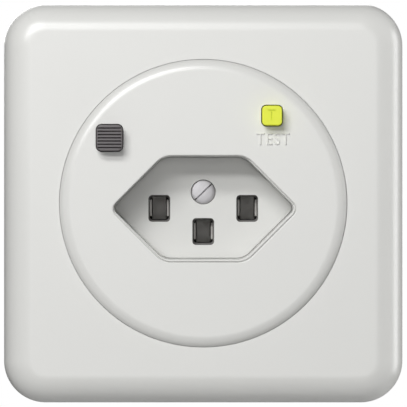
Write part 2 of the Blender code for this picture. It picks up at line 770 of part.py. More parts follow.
def make_support_frame():
    """The pressed steel frame that hangs on the wall box and holds the housing by its neck."""
    half = STRAP_SIZE / 2
    outline = rectangle((0, 0), 2 * half, 2 * half, STRAP_CORNER_RADIUS)
    opening = octagon(NECK_SIZE + 2 * SEAT_GAP, NECK_CHAMFER)
    frame = outline_solid("support_frame", [outline, opening], -STRAP_THICKNESS, 0.0)
    reach = FIXING_SPACING / 2
    long_way = (FIXING_SLOT_LENGTH, FIXING_SLOT_WIDTH)
    for x, z, (width, height) in (
        (0, reach, long_way),
        (0, -reach, long_way),
        (reach, 0, long_way[::-1]),
        (-reach, 0, long_way[::-1]),
    ):
        slot = rectangle((x, z), width, height, 0.49 * FIXING_SLOT_WIDTH)
        cut(frame, outline_solid("fixing_slot", [slot], -STRAP_THICKNESS - OVERCUT, OVERCUT))
    for x, z, name in screw_places():
        hole = HOUSING_SCREW_THREAD + 2 * SEAT_GAP
        cut(frame, rod("strap_hole", hole, (x, -STRAP_THICKNESS - OVERCUT, z), (x, OVERCUT, z), sides=16))
    finish(frame, ZINC_STEEL, smooth=False)


def make_front_housing():
    """The front housing: neck, box, the well round the recess cup, and the guides of the buttons."""
    half = BOX_SIZE / 2
    box = outline_solid(
        "front_housing",
        [rectangle((0, 0), BOX_SIZE, BOX_SIZE, BOX_CORNER_RADIUS)],
        Y_BOX,
        Y_BOX_BACK,
    )
    neck = outline_solid("neck", [octagon(NECK_SIZE, NECK_CHAMFER)], Y_NECK, Y_BOX + ROOT)
    neck_inside = octagon(NECK_SIZE - 2 * NECK_WALL, NECK_CHAMFER)
    neck_hollow = outline_solid("neck_hollow", [neck_inside], Y_NECK_INSIDE, Y_BOX + 2 * BOX_WALL)
    box_inside = rectangle((0, 0), 2 * BOX_INSIDE, 2 * BOX_INSIDE, 0.4 * BOX_CORNER_RADIUS)
    box_hollow = outline_solid("box_hollow", [box_inside], Y_BOX + BOX_WALL, Y_BOX_BACK + OVERCUT)
    join(box, neck)
    cut(box, neck_hollow, box_hollow)

    well_gap = CUP_WALL + SEAT_GAP
    well = outline_solid("well", [recess_outline(well_gap + WELL_WALL)], Y_NECK + ROOT, Y_WELL_BACK)
    well_hollow = outline_solid("well_hollow", [recess_outline(well_gap)], Y_NECK - OVERCUT, Y_WELL)
    join(box, well)
    cut(box, well_hollow)

    shelf_reach = TEST_WIDTH / 2 + TEST_FLANGE_LIP + SEAT_GAP
    shelf = block(
        "test_shelf",
        (TEST_X - shelf_reach, TEST_X + shelf_reach),
        (Y_SHELF, Y_SHELF + TEST_SHELF_THICKNESS),
        (TEST_Z - TEST_WIDTH / 2 - TEST_FLANGE_LIP, BOX_INSIDE + ROOT),
    )
    boss_end = Y_WELL_BACK + CENTRE_BOSS_LENGTH
    centre_boss = rod(
        "centre_boss",
        CENTRE_BOSS_DIAMETER,
        (0, Y_WELL_BACK - ROOT, CENTRE_SCREW_Z),
        (0, boss_end, CENTRE_SCREW_Z),
        sides=20,
    )
    join(box, shelf, centre_boss)
    hole = CENTRE_SCREW_THREAD + 2 * SEAT_GAP
    cut(
        box,
        rod(
            "centre_boss_hole",
            hole,
            (0, Y_WELL - OVERCUT, CENTRE_SCREW_Z),
            (0, boss_end + OVERCUT, CENTRE_SCREW_Z),
            sides=16,
        ),
        rod(
            "test_stem_hole",
            TEST_STEM_DIAMETER + 2 * SEAT_GAP,
            (TEST_X, Y_SHELF - OVERCUT, TEST_Z),
            (TEST_X, Y_SHELF + TEST_SHELF_THICKNESS + OVERCUT, TEST_Z),
            sides=16,
        ),
    )
    cut(box, *pin_hole_cutters("well_pin_hole", 0.0, Y_WELL - OVERCUT, Y_WELL_BACK + OVERCUT))
    for x, z, width, height in (
        (RESET_X, RESET_Z, RESET_WIDTH, RESET_HEIGHT),
        (TEST_X, TEST_Z, TEST_WIDTH, TEST_WIDTH),
    ):
        window = rectangle((x, z), width + 2 * SEAT_GAP, height + 2 * SEAT_GAP)
        cut(box, outline_solid("guide_window", [window], Y_NECK - OVERCUT, Y_NECK_INSIDE + OVERCUT))
    for x, z, name in screw_places():
        boss_start = Y_BOX + BOX_WALL - ROOT
        start = (x, boss_start, z)
        join(box, rod(f"boss_{name}", HOUSING_BOSS_DIAMETER, start, (x, Y_BOX_BACK, z), sides=16))
    for x, z, name in screw_places():
        bore = HOUSING_SCREW_THREAD + 2 * SEAT_GAP
        cut(box, rod(f"bore_{name}", bore, (x, Y_BOX - OVERCUT, z), (x, Y_BOX_BACK + OVERCUT, z), sides=12))
    finish(box, LIGHT_GREY_PLASTIC, smooth=False)


def terminals():
    """Name, x and side (+1 top, -1 bottom) of each terminal."""
    return (
        ("supply_line", -INNER_TERMINAL_X, 1),
        ("supply_neutral", -OUTER_TERMINAL_X, 1),
        ("load_line", INNER_TERMINAL_X, 1),
        ("load_neutral", OUTER_TERMINAL_X, 1),
        ("supply_earth", -EARTH_TERMINAL_X, -1),
        ("load_earth", EARTH_TERMINAL_X, -1),
    )


def make_rear_housing():
    """The rear cup, with wire entries in its back and screwdriver holes over the terminal screws."""
    box = outline_solid(
        "rear_housing",
        [rectangle((0, 0), BOX_SIZE, BOX_SIZE, BOX_CORNER_RADIUS)],
        Y_REAR,
        Y_REAR_BACK,
    )
    inside = rectangle((0, 0), 2 * BOX_INSIDE, 2 * BOX_INSIDE, 0.4 * BOX_CORNER_RADIUS)
    floor = Y_REAR_BACK - BOX_WALL
    cut(box, outline_solid("rear_hollow", [inside], Y_REAR - OVERCUT, floor))
    for x, z, name in screw_places():
        start = (x, Y_BEHIND, z)
        join(box, rod(f"boss_{name}", HOUSING_BOSS_DIAMETER, start, (x, floor + ROOT, z), sides=16))
    for x, z, name in screw_places():
        bore = HOUSING_SCREW_THREAD + 2 * SEAT_GAP
        bore_end = HOUSING_SCREW_LENGTH - STRAP_THICKNESS + OVERCUT
        cut(box, rod(f"bore_{name}", bore, (x, Y_REAR - OVERCUT, z), (x, bore_end, z), sides=12))
    for name, x, side in terminals():
        level = side * TERMINAL_LEVEL
        middle = Y_BEHIND + TERMINAL_LENGTH / 2 + SEAT_GAP
        entry = rod(
            f"entry_{name}",
            WIRE_ENTRY_DIAMETER,
            (x, floor - OVERCUT, level),
            (x, Y_REAR_BACK + OVERCUT, level),
            sides=16,
        )
        access = rod(
            f"access_{name}",
            TERMINAL_SCREW_HEAD + 2 * SEAT_GAP,
            (x, middle, side * (BOX_INSIDE - OVERCUT)),
            (x, middle, side * (BOX_SIZE / 2 + OVERCUT)),
            sides=16,
        )
        cut(box, entry, access)
    finish(box, DARK_GREY_PLASTIC, smooth=False)


def make_housing_screws():
    """Four long screws run from the support frame through the front housing into the rear cup."""
    for x, z, name in screw_places():
        head = HOUSING_SCREW_HEAD / 2
        thread = HOUSING_SCREW_THREAD / 2
        seat = -STRAP_THICKNESS - SEAT_GAP
        tip = seat + HOUSING_SCREW_LENGTH
        screw = turned(
            f"housing_screw_{name}",
            [
                (0, seat - HOUSING_SCREW_HEAD_HEIGHT),
                (0.7 * head, seat - HOUSING_SCREW_HEAD_HEIGHT),
                (head, seat - 0.6 * HOUSING_SCREW_HEAD_HEIGHT),
                (head, seat),
                (thread, seat),
                (thread, tip),
                (0, tip),
            ],
            x=x,
            z=z,
            steps=12,
        )
        slot_floor = seat - HOUSING_SCREW_HEAD_HEIGHT + SLOT_DEPTH
        slot = block(
            f"slot_{name}",
            (x - head - OVERCUT, x + head + OVERCUT),
            (seat - HOUSING_SCREW_HEAD_HEIGHT - OVERCUT, slot_floor),
            around(z, SLOT_WIDTH),
        )
        cut(screw, slot)
        finish(screw, ZINC_STEEL)


def make_chassis_plate():
    """The insulating plate between the housings. Pads on it carry the contacts and the latch."""
    side = 2 * (BOX_INSIDE - SEAT_GAP)
    plate = outline_solid(
        "chassis_plate",
        [rectangle((0, 0), side, side, 0.3 * BOX_CORNER_RADIUS)],
        Y_CHASSIS,
        Y_CHASSIS_BACK,
    )
    pad_front = Y_CONTACT_BASE + CONTACT_METAL + SEAT_GAP
    pad_back = Y_CHASSIS + ROOT
    for i, (x, z) in enumerate(PIN_CENTRES):
        pad = block(
            f"contact_pad_{i}",
            around(x, CONTACT_BODY_WIDTH),
            (pad_front, pad_back),
            around(z, CONTACT_HEIGHT - 2 * SEAT_GAP),
        )
        join(plate, pad)
    for name, x in fixed_contact_places():
        pad = block(
            f"switch_pad_{name}",
            around(x, TAIL_WIDTH - 2 * SEAT_GAP),
            (pad_front, pad_back),
            around(RESET_Z, TAIL_WIDTH - 2 * SEAT_GAP),
        )
        join(plate, pad)
    ear_inside = LATCH_WIDTH / 2 + SEAT_GAP
    for sign, name in ((-1, "left"), (1, "right")):
        ends = sorted((sign * ear_inside, sign * (ear_inside + LATCH_EAR_THICKNESS)))
        ear = block(
            f"latch_ear_{name}",
            ends,
            (LATCH_PIVOT_Y - LATCH_EYE_RADIUS, pad_back),
            around(LATCH_PIVOT_Z, 2 * LATCH_EYE_RADIUS),
        )
        join(plate, ear)
    pin_bore = LATCH_PIN_DIAMETER + 2 * SEAT_GAP
    span = ear_inside + LATCH_EAR_THICKNESS + OVERCUT
    pivot = (LATCH_PIVOT_Y, LATCH_PIVOT_Z)
    cut(
        plate,
        rod("ear_bore", pin_bore, (-span, *pivot), (span, *pivot), sides=12),
        rod(
            "plunger_bore",
            PLUNGER_DIAMETER + 2 * SEAT_GAP,
            (0, Y_CHASSIS - OVERCUT, RELAY_Z),
            (0, Y_CHASSIS_BACK + OVERCUT, RELAY_Z),
            sides=12,
        ),
    )
    cradle = turned(
        "toroid_cradle",
        [
            (TOROID_RADIUS + CRADLE_HALF_WIDTH, Y_CHASSIS_BACK - ROOT),
            (TOROID_RADIUS + CRADLE_HALF_WIDTH, Y_CHASSIS_BACK + CRADLE_HEIGHT),
            (TOROID_RADIUS - CRADLE_HALF_WIDTH, Y_CHASSIS_BACK + CRADLE_HEIGHT),
            (TOROID_RADIUS - CRADLE_HALF_WIDTH, Y_CHASSIS_BACK - ROOT),
        ],
        x=TOROID_X,
        z=TOROID_Z,
        steps=24,
        closed=True,
    )
    join(plate, cradle)
    leg = EARTH_STRIP_HEIGHT - 2 * ROOT + 2 * SEAT_GAP
    for side in (-1, 1):
        slot = rectangle((side * EARTH_TERMINAL_X, -TERMINAL_LEVEL), leg, leg)
        cut(plate, outline_solid("leg_slot", [slot], Y_CHASSIS - OVERCUT, Y_CHASSIS_BACK + OVERCUT))
    lead_slot = rectangle(
        (TOROID_X, TOROID_Z),
        2 * LEAD_OFFSET + LEAD_DIAMETER + 2 * SEAT_GAP,
        LEAD_DIAMETER + 4 * SEAT_GAP,
    )
    cut(plate, outline_solid("lead_slot", [lead_slot], Y_CHASSIS - OVERCUT, Y_CHASSIS_BACK + OVERCUT))
    for x, z, name in screw_places():
        bore = HOUSING_SCREW_THREAD + 2 * SEAT_GAP
        start = (x, Y_CHASSIS - OVERCUT, z)
        cut(plate, rod(f"plate_bore_{name}", bore, start, (x, Y_CHASSIS_BACK + OVERCUT, z), sides=12))
    finish(plate, LIGHT_GREY_PLASTIC, smooth=False)


# Buttons and the moving contact system


def make_reset_button():
    """The ribbed button that is pushed in to set the outlet and pops out when it trips."""
    face = Y_DISC - RESET_PROUD
    button = soft_block(
        "reset_button",
        around(RESET_X, RESET_WIDTH),
        (face, Y_RESET_STOP + ROOT),
        around(RESET_Z, RESET_HEIGHT),
        RESET_CORNER_RADIUS,
        BUTTON_EDGE_RADIUS,
    )
    flange = block(
        "reset_flange",
        around(RESET_X, RESET_WIDTH + 2 * RESET_FLANGE_LIP),
        (Y_RESET_STOP, Y_RESET_STOP + FLANGE_THICKNESS),
        around(RESET_Z, RESET_HEIGHT + 2 * RESET_FLANGE_LIP),
    )
    stem = block(
        "reset_stem",
        around(RESET_X, RESET_STEM_WIDTH),
        (Y_RESET_STOP + FLANGE_THICKNESS - ROOT, Y_CARRIAGE - SEAT_GAP),
        around(RESET_Z, RESET_STEM_WIDTH),
    )
    join(button, flange, stem)
    top_groove = RESET_Z + RESET_RIB_PITCH * (RESET_RIB_COUNT - 2) / 2
    groove = block(
        "rib_grooves",
        around(RESET_X, RESET_WIDTH - 2 * RESET_RIB_MARGIN),
        (face - OVERCUT, face + RESET_GROOVE_DEPTH),
        around(top_groove, RESET_GROOVE_WIDTH),
    )
    row = groove.modifiers.new("row", "ARRAY")
    row.count = RESET_RIB_COUNT - 1
    row.use_relative_offset = False
    row.use_constant_offset = True
    row.constant_offset_displace = (0.0, 0.0, -RESET_RIB_PITCH)
    cut(button, groove)
    finish(button, DARK_PLASTIC, origin=(RESET_X, Y_DISC, RESET_Z))


def make_test_button():
    """The square button whose stem presses a clip onto the two posts of the test circuit."""
    face = Y_DISC - TEST_PROUD
    button = soft_block(
        "test_button",
        around(TEST_X, TEST_WIDTH),
        (face, Y_TEST_STOP + ROOT),
        around(TEST_Z, TEST_WIDTH),
        TEST_CORNER_RADIUS,
        BUTTON_EDGE_RADIUS,
    )
    flange_width = TEST_WIDTH + 2 * TEST_FLANGE_LIP
    flange = block(
        "test_flange",
        around(TEST_X, flange_width),
        (Y_TEST_STOP, Y_TEST_STOP + FLANGE_THICKNESS),
        around(TEST_Z, flange_width),
    )
    stem = rod(
        "test_stem",
        TEST_STEM_DIAMETER,
        (TEST_X, Y_TEST_STOP + FLANGE_THICKNESS - ROOT, TEST_Z),
        (TEST_X, test_clip_depth() + TEST_CLIP_THICKNESS + ROOT, TEST_Z),
        sides=16,
    )
    join(button, flange, stem)
    finish(button, YELLOW_PLASTIC, origin=(TEST_X, Y_DISC, TEST_Z))


def test_clip_depth():
    return Y_SHELF + TEST_SHELF_THICKNESS + SEAT_GAP


def make_test_clip():
    front = test_clip_depth()
    clip = block(
        "test_clip",
        around(TEST_X, TEST_CLIP_WIDTH),
        (front, front + TEST_CLIP_THICKNESS),
        around(TEST_Z, TEST_CLIP_HEIGHT + TEST_STEM_DIAMETER),
    )
    hole = TEST_STEM_DIAMETER + SEAT_GAP
    behind = front + TEST_CLIP_THICKNESS + OVERCUT
    cut(clip, rod("clip_hole", hole, (TEST_X, front - OVERCUT, TEST_Z), (TEST_X, behind, TEST_Z), sides=16))
    finish(clip, CONTACT_BRONZE, origin=(TEST_X, front, TEST_Z), smooth=False)


def make_test_posts():
    front = test_clip_depth() + TEST_CLIP_THICKNESS + TEST_TRAVEL + SEAT_GAP
    reach = (TEST_CLIP_WIDTH - TEST_POST_WIDTH) / 2
    for side, name in ((-1, "left"), (1, "right")):
        post = block(
            f"test_post_{name}",
            around(TEST_X + side * reach, TEST_POST_WIDTH),
            (front, Y_CHASSIS - SEAT_GAP),
            around(TEST_Z, TEST_POST_WIDTH),
        )
        finish(post, TERMINAL_BRASS, smooth=False)


def make_contact_carriage():
    """The insulating crossbar that the reset button moves. The latch holds it by its sloped catch."""
    left = RESET_X - RESET_STEM_WIDTH / 2 - CARRIAGE_END_MARGIN
    right = NEUTRAL_X + BRIDGE_LENGTH / 2 + CARRIAGE_END_MARGIN
    bar = block(
        "contact_carriage",
        (left, right),
        (Y_CARRIAGE, Y_CARRIAGE_BACK),
        around(RESET_Z, CARRIAGE_HEIGHT),
    )
    rise = CATCH_HEIGHT
    catch_outline = [
        (Y_CARRIAGE, CARRIAGE_TOP),
        (Y_CARRIAGE + rise, CARRIAGE_TOP + rise),
        (Y_CARRIAGE + rise + CATCH_CREST, CARRIAGE_TOP + rise),
        (Y_CARRIAGE + rise + CATCH_CREST, CARRIAGE_TOP - ROOT),
        (Y_CARRIAGE + ROOT, CARRIAGE_TOP - ROOT),
    ]
    catch = outline_solid("catch", [catch_outline], -CATCH_WIDTH / 2, CATCH_WIDTH / 2, facing=FACING_SIDE)
    join(bar, catch)
    finish(bar, DARK_GREY_PLASTIC, origin=(RESET_X, Y_CARRIAGE, RESET_Z), smooth=False)


def make_bridges():
    """One bridge a pole, with a contact rivet at each end."""
    for name, x in (("line_bridge", LINE_X), ("neutral_bridge", NEUTRAL_X)):
        blade = block(
            name,
            around(x, BRIDGE_LENGTH),
            (Y_BRIDGE, Y_BRIDGE + BRIDGE_METAL),
            around(RESET_Z, BRIDGE_HEIGHT),
        )
        for side in (-1, 1):
            rivet_x = x + side * POLE_GAP / 2
            start = (rivet_x, Y_BRIDGE + BRIDGE_METAL / 2, RESET_Z)
            end = (rivet_x, Y_BRIDGE + BRIDGE_METAL + RIVET_THICKNESS, RESET_Z)
            join(blade, rod("bridge_rivet", RIVET_DIAMETER, start, end, sides=12))
        finish(blade, CONTACT_BRONZE, origin=(x, Y_BRIDGE, RESET_Z))


def fixed_contact_places():
    """Supply contacts lie outside, load contacts inside."""
    return (
        ("line_supply", LINE_X - POLE_GAP / 2),
        ("line_load", LINE_X + POLE_GAP / 2),
        ("neutral_load", NEUTRAL_X - POLE_GAP / 2),
        ("neutral_supply", NEUTRAL_X + POLE_GAP / 2),
    )


def make_fixed_rivets():
    for name, x in fixed_contact_places():
        start = (x, Y_FIXED, RESET_Z)
        end = (x, Y_FIXED + RIVET_THICKNESS, RESET_Z)
        finish(rod(f"{name}_rivet", RIVET_DIAMETER, start, end, sides=16), SILVER)


def make_supply_strips():
    """Strips that carry the supply rivets and run down to where the leads reach them."""
    strip_top = RESET_Z + TAIL_WIDTH / 2
    for name, x, lead_z in (
        ("line_supply_strip", LINE_X - POLE_GAP / 2, TOROID_Z),
        ("neutral_supply_strip", NEUTRAL_X + POLE_GAP / 2, NEUTRAL_LEAD_Z),
    ):
        strip = block(
            name,
            around(x, TAIL_WIDTH),
            (Y_CONTACT_BASE, Y_CONTACT_BASE + CONTACT_METAL),
            (lead_z - LEAD_DIAMETER / 2, strip_top),
        )
        finish(strip, CONTACT_BRONZE, smooth=False)


def make_contact(name, x, z, tail_x, tail_end):
    """A sprung fork for one pin, with a tail that runs up or down from its base."""
    mouth = CONTACT_MOUTH / 2
    throat = CONTACT_THROAT / 2
    body = CONTACT_BODY_WIDTH / 2
    jaw_end = CONTACT_FLARE_LENGTH + CONTACT_JAW_LENGTH
    half_path = [
        (mouth, 0.0),
        (throat, CONTACT_FLARE_LENGTH),
        (throat, jaw_end),
        (body, jaw_end + CONTACT_TAPER_LENGTH),
        (body, Y_CONTACT_BASE - Y_CONTACT),
    ]
    path = [(x - u, Y_CONTACT + v) for u, v in half_path]
    path += [(x + u, Y_CONTACT + v) for u, v in reversed(half_path)]
    bm = bmesh.new()
    low = [bm.verts.new((px, py, z - CONTACT_HEIGHT / 2)) for px, py in path]
    high = [bm.verts.new((px, py, z + CONTACT_HEIGHT / 2)) for px, py in path]
    for i in range(len(path) - 1):
        bm.faces.new((low[i], low[i + 1], high[i + 1], high[i]))
    mesh = bpy.data.meshes.new(name)
    bm.to_mesh(mesh)
    bm.free()
    fork = helper(name, mesh)
    thick = fork.modifiers.new("metal", "SOLIDIFY")
    thick.thickness = CONTACT_METAL
    thick.offset = -1.0
    thick.use_even_offset = True
    near = z + math.copysign(CONTACT_HEIGHT / 2 - ROOT, tail_end - z)
    tail = block(
        f"{name}_tail",
        around(tail_x, TAIL_WIDTH),
        (Y_CONTACT_BASE, Y_CONTACT_BASE + CONTACT_METAL),
        sorted((near, tail_end)),
    )
    join(fork, tail)
    finish(fork, CONTACT_BRONZE, smooth=False)


def make_contacts():
    top = RESET_Z + TAIL_WIDTH / 2
    make_contact("line_contact", LINE_X, LIVE_PIN_Z, LINE_X + POLE_GAP / 2, top)
    make_contact("neutral_contact", NEUTRAL_X, LIVE_PIN_Z, NEUTRAL_X - POLE_GAP / 2, top)
    make_contact("earth_contact", 0.0, EARTH_PIN_Z, 0.0, -TERMINAL_LEVEL - EARTH_STRIP_HEIGHT / 2)


def make_earth_strip():
    """The bar behind the earth tail, with a leg through the chassis plate to each earth terminal."""
    front = Y_CONTACT_BASE + CONTACT_METAL + SEAT_GAP
    reach = EARTH_TERMINAL_X + EARTH_STRIP_HEIGHT / 2
    level = around(-TERMINAL_LEVEL, EARTH_STRIP_HEIGHT)
    bar = block("earth_strip", (-reach, reach), (front, front + EARTH_STRIP_METAL), level)
    for side in (-1, 1):
        leg = block(
            "earth_leg",
            around(side * EARTH_TERMINAL_X, EARTH_STRIP_HEIGHT - 2 * ROOT),
            (front + EARTH_STRIP_METAL / 2, Y_CHASSIS_BACK),
            around(-TERMINAL_LEVEL, EARTH_STRIP_HEIGHT - 2 * ROOT),
        )
        join(bar, leg)
    finish(bar, TERMINAL_BRASS, smooth=False)


# Latch


def latch_underside():
    return CARRIAGE_TOP + CATCH_HEIGHT + SEAT_GAP


def make_latch_lever():
    """The lever whose hook lies against the carriage's catch. Its toe is what the plunger pushes."""
    hook_low = CARRIAGE_TOP + SEAT_GAP
    arm_low = latch_underside()
    slope_start = Y_CARRIAGE - math.sqrt(2) * SEAT_GAP + SEAT_GAP
    hook_front = slope_start - LATCH_HOOK
    back = LATCH_PIVOT_Y + LATCH_ARM
    toe_low = LATCH_PIVOT_Z - LATCH_TOE_DROP
    eye_top = LATCH_PIVOT_Z + LATCH_EYE_RADIUS
    outline = [
        (hook_front, hook_low),
        (slope_start, hook_low),
        (slope_start + arm_low - hook_low, arm_low),
        (LATCH_PIVOT_Y - LATCH_EYE_RADIUS, arm_low),
        (LATCH_PIVOT_Y + 0.2 * LATCH_ARM, arm_low),
        (LATCH_PIVOT_Y + 0.3 * LATCH_ARM, toe_low),
        (back, toe_low),
        (back, LATCH_PIVOT_Z + 0.6 * LATCH_EYE_RADIUS),
        (LATCH_PIVOT_Y + 0.4 * LATCH_EYE_RADIUS, eye_top),
        (LATCH_PIVOT_Y - 0.8 * LATCH_EYE_RADIUS, eye_top),
        (LATCH_PIVOT_Y - 1.4 * LATCH_EYE_RADIUS, arm_low + LATCH_ARM),
        (hook_front, arm_low + LATCH_ARM),
    ]
    half = LATCH_WIDTH / 2
    lever = outline_solid("latch_lever", [outline], -half, half, facing=FACING_SIDE)
    bore = LATCH_PIN_DIAMETER + 2 * SEAT_GAP
    span = half + OVERCUT
    pivot = (LATCH_PIVOT_Y, LATCH_PIVOT_Z)
    cut(lever, rod("lever_bore", bore, (-span, *pivot), (span, *pivot), sides=16))
    finish(lever, BRIGHT_STEEL, origin=(0.0, *pivot), smooth=False)


def make_latch_pin():
    reach = LATCH_WIDTH / 2 + SEAT_GAP + LATCH_EAR_THICKNESS
    pivot = (LATCH_PIVOT_Y, LATCH_PIVOT_Z)
    finish(rod("latch_pin", LATCH_PIN_DIAMETER, (-reach, *pivot), (reach, *pivot), sides=16), BRIGHT_STEEL)


# Springs


def make_springs():
    opening = coil_path(
        (0.0, RESET_Z),
        OPENING_SPRING_DIAMETER,
        OPENING_SPRING_TURNS,
        Y_CARRIAGE_BACK + SEAT_GAP,
        Y_CHASSIS - SEAT_GAP,
    )
    test = coil_path(
        (TEST_X, TEST_Z),
        TEST_SPRING_DIAMETER,
        TEST_SPRING_TURNS,
        Y_TEST_STOP + FLANGE_THICKNESS + SEAT_GAP,
        Y_SHELF - SEAT_GAP,
    )
    latch = coil_path(
        (0.0, (Y_CARRIAGE + Y_CARRIAGE_BACK) / 2),
        LATCH_SPRING_DIAMETER,
        LATCH_SPRING_TURNS,
        latch_underside() + LATCH_ARM + SEAT_GAP,
        BOX_INSIDE - SEAT_GAP,
        axis="Z",
    )
    for name, path in (("opening_spring", opening), ("test_spring", test), ("latch_spring", latch)):
        finish(wire(name, path, SPRING_WIRE, sides_level=1), BRIGHT_STEEL)


# Terminals


def make_terminals():
    """A brass cage for each conductor, with its clamping screw."""
    start = Y_BEHIND
    end = start + TERMINAL_LENGTH
    middle = Y_BEHIND + TERMINAL_LENGTH / 2 + SEAT_GAP
    for name, x, side in terminals():
        level = side * TERMINAL_LEVEL
        height = around(level, TERMINAL_HEIGHT)
        cage = block(f"{name}_terminal", around(x, TERMINAL_WIDTH), (start, end), height)
        tunnel = block(
            "tunnel",
            around(x, TERMINAL_CAGE_WIDTH),
            (start - OVERCUT, end + OVERCUT),
            around(level, TERMINAL_CAGE_HEIGHT),
        )
        outer = level + side * TERMINAL_HEIGHT / 2
        hole = rod(
            "clamp_hole",
            TERMINAL_SCREW_THREAD + 2 * SEAT_GAP,
            (x, middle, level),
            (x, middle, outer + side * OVERCUT),
            sides=16,
        )
        cut(cage, tunnel, hole)
        finish(cage, TERMINAL_BRASS, smooth=False)
        seat = outer + side * SEAT_GAP
        head_top = seat + side * TERMINAL_SCREW_HEAD_HEIGHT
        screw = rod(
            f"{name}_screw", TERMINAL_SCREW_HEAD, (x, middle, seat), (x, middle, head_top), sides=12
        )
        shank_start = (x, middle, seat + side * TERMINAL_SCREW_HEAD_HEIGHT / 2)
        shank_end = (x, middle, level + side * SEAT_GAP)
        join(screw, rod("clamp_shank", TERMINAL_SCREW_THREAD, shank_start, shank_end, sides=10))
        groove = sorted((head_top - side * SLOT_DEPTH, head_top + side * OVERCUT))
        cut(
            screw,
            block(
                "clamp_slot",
                around(x, TERMINAL_SCREW_HEAD + 2 * OVERCUT),
                around(middle, SLOT_WIDTH),
                groove,
            ),
        )
        finish(screw, ZINC_STEEL)


# Fault-current sensing


def make_toroid():
    """The ring core, and round it the secondary winding, which leaves a gap between its two ends."""
    section = arc((TOROID_RADIUS, TOROID_Y), CORE_RADIUS, 0, 324, 9)
    core = turned("toroid_core", section, x=TOROID_X, z=TOROID_Z, steps=24, closed=True)
    finish(core, FERRITE)
    count = WINDING_TURNS * POINTS_PER_TURN
    path = []
    for i in range(count + 1):
        sweep = WINDING_START + WINDING_SWEEP * i / count
        roll = 2 * math.pi * i / POINTS_PER_TURN
        reach = TOROID_RADIUS + WINDING_RADIUS * math.cos(roll)
        path.append(
            (
                TOROID_X + reach * math.cos(sweep),
                TOROID_Y + WINDING_RADIUS * math.sin(roll),
                TOROID_Z + reach * math.sin(sweep),
            )
        )
    finish(wire("secondary_winding", path, WINDING_WIRE, sides_level=1), COPPER)


def make_leads():
    """The two supply leads run from their terminals, back and through the core, to the strips."""
    rear = Y_REAR_BACK - BOX_WALL - LEAD_DIAMETER
    start_y = Y_BEHIND + TERMINAL_LENGTH / 2
    start_z = TERMINAL_LEVEL - TERMINAL_HEIGHT / 2 - 2 * SEAT_GAP
    strip_back = Y_CONTACT_BASE + CONTACT_METAL + SEAT_GAP
    line_x = TOROID_X + LEAD_OFFSET
    neutral_x = TOROID_X - LEAD_OFFSET
    above = TOROID_Z + TOROID_RADIUS + WINDING_RADIUS + LEAD_DIAMETER
    line = [
        (-INNER_TERMINAL_X, start_y, start_z),
        (-INNER_TERMINAL_X, start_y + 0.4 * MM, start_z - 1.2 * MM),
        (-INNER_TERMINAL_X, start_y + 2.4 * MM, above + 0.6 * MM),
        (-INNER_TERMINAL_X - 1.0 * MM, rear - 1.5 * MM, above),
        (line_x + 1.0 * MM, rear, TOROID_Z + TOROID_RADIUS),
        (line_x, rear - 0.8 * MM, TOROID_Z + 1.6 * MM),
        (line_x, TOROID_Y, TOROID_Z),
        (line_x, Y_CHASSIS, TOROID_Z),
        (line_x, strip_back, TOROID_Z),
    ]
    neutral = [
        (-OUTER_TERMINAL_X, start_y, start_z),
        (-OUTER_TERMINAL_X, start_y + 0.4 * MM, start_z - 1.2 * MM),
        (-OUTER_TERMINAL_X, start_y + 2.4 * MM, above + 0.6 * MM),
        (-OUTER_TERMINAL_X, rear - 1.5 * MM, above),
        (neutral_x - 1.0 * MM, rear, TOROID_Z + TOROID_RADIUS),
        (neutral_x, rear - 0.8 * MM, TOROID_Z + 1.6 * MM),
        (neutral_x, TOROID_Y, TOROID_Z),
        (neutral_x, Y_CHASSIS + 1.0 * MM, TOROID_Z),
        (neutral_x, LEAD_LEVEL_Y, TOROID_Z + 2.0 * MM),
        (neutral_x + 3.0 * MM, LEAD_LEVEL_Y, NEUTRAL_LEAD_Z),
        (0.0, LEAD_LEVEL_Y, NEUTRAL_LEAD_Z),
        (NEUTRAL_X + POLE_GAP / 2 - 2.4 * MM, LEAD_LEVEL_Y, NEUTRAL_LEAD_Z),
        (NEUTRAL_X + POLE_GAP / 2 - 0.2 * MM, strip_back + 3 * SEAT_GAP, NEUTRAL_LEAD_Z),
        (NEUTRAL_X + POLE_GAP / 2, strip_back, NEUTRAL_LEAD_Z),
    ]
    finish(wire("line_lead", smooth_path(line, 3), LEAD_DIAMETER, sides_level=1), BROWN_LEAD)
    finish(wire("neutral_lead", smooth_path(neutral, 3), LEAD_DIAMETER, sides_level=1), BLUE_LEAD)


def make_trip_relay():
    start = Y_BEHIND + SEAT_GAP
    top = BOX_INSIDE - RELAY_WALL_GAP
    relay = soft_block(
        "trip_relay",
        around(0.0, RELAY_WIDTH),
        (Y_BEHIND, Y_BEHIND + RELAY_LENGTH),
        (top - RELAY_HEIGHT, top),
        2 * BUTTON_EDGE_RADIUS,
        BUTTON_EDGE_RADIUS,
        corner_steps=2,
        edge_steps=1,
    )
    bore = PLUNGER_DIAMETER + 2 * SEAT_GAP
    depth = start + 0.6 * RELAY_LENGTH
    cut(relay, rod("relay_bore", bore, (0, Y_BEHIND - OVERCUT, RELAY_Z), (0, depth, RELAY_Z), sides=16))
    finish(relay, DARK_GREY_PLASTIC, smooth=False)
    tip = LATCH_PIVOT_Y + LATCH_ARM + SEAT_GAP
    plunger_end = (0, depth - SEAT_GAP, RELAY_Z)
    plunger = rod("relay_plunger", PLUNGER_DIAMETER, (0, tip, RELAY_Z), plunger_end, sides=16)
    finish(plunger, BRIGHT_STEEL, origin=(0.0, tip, RELAY_Z))


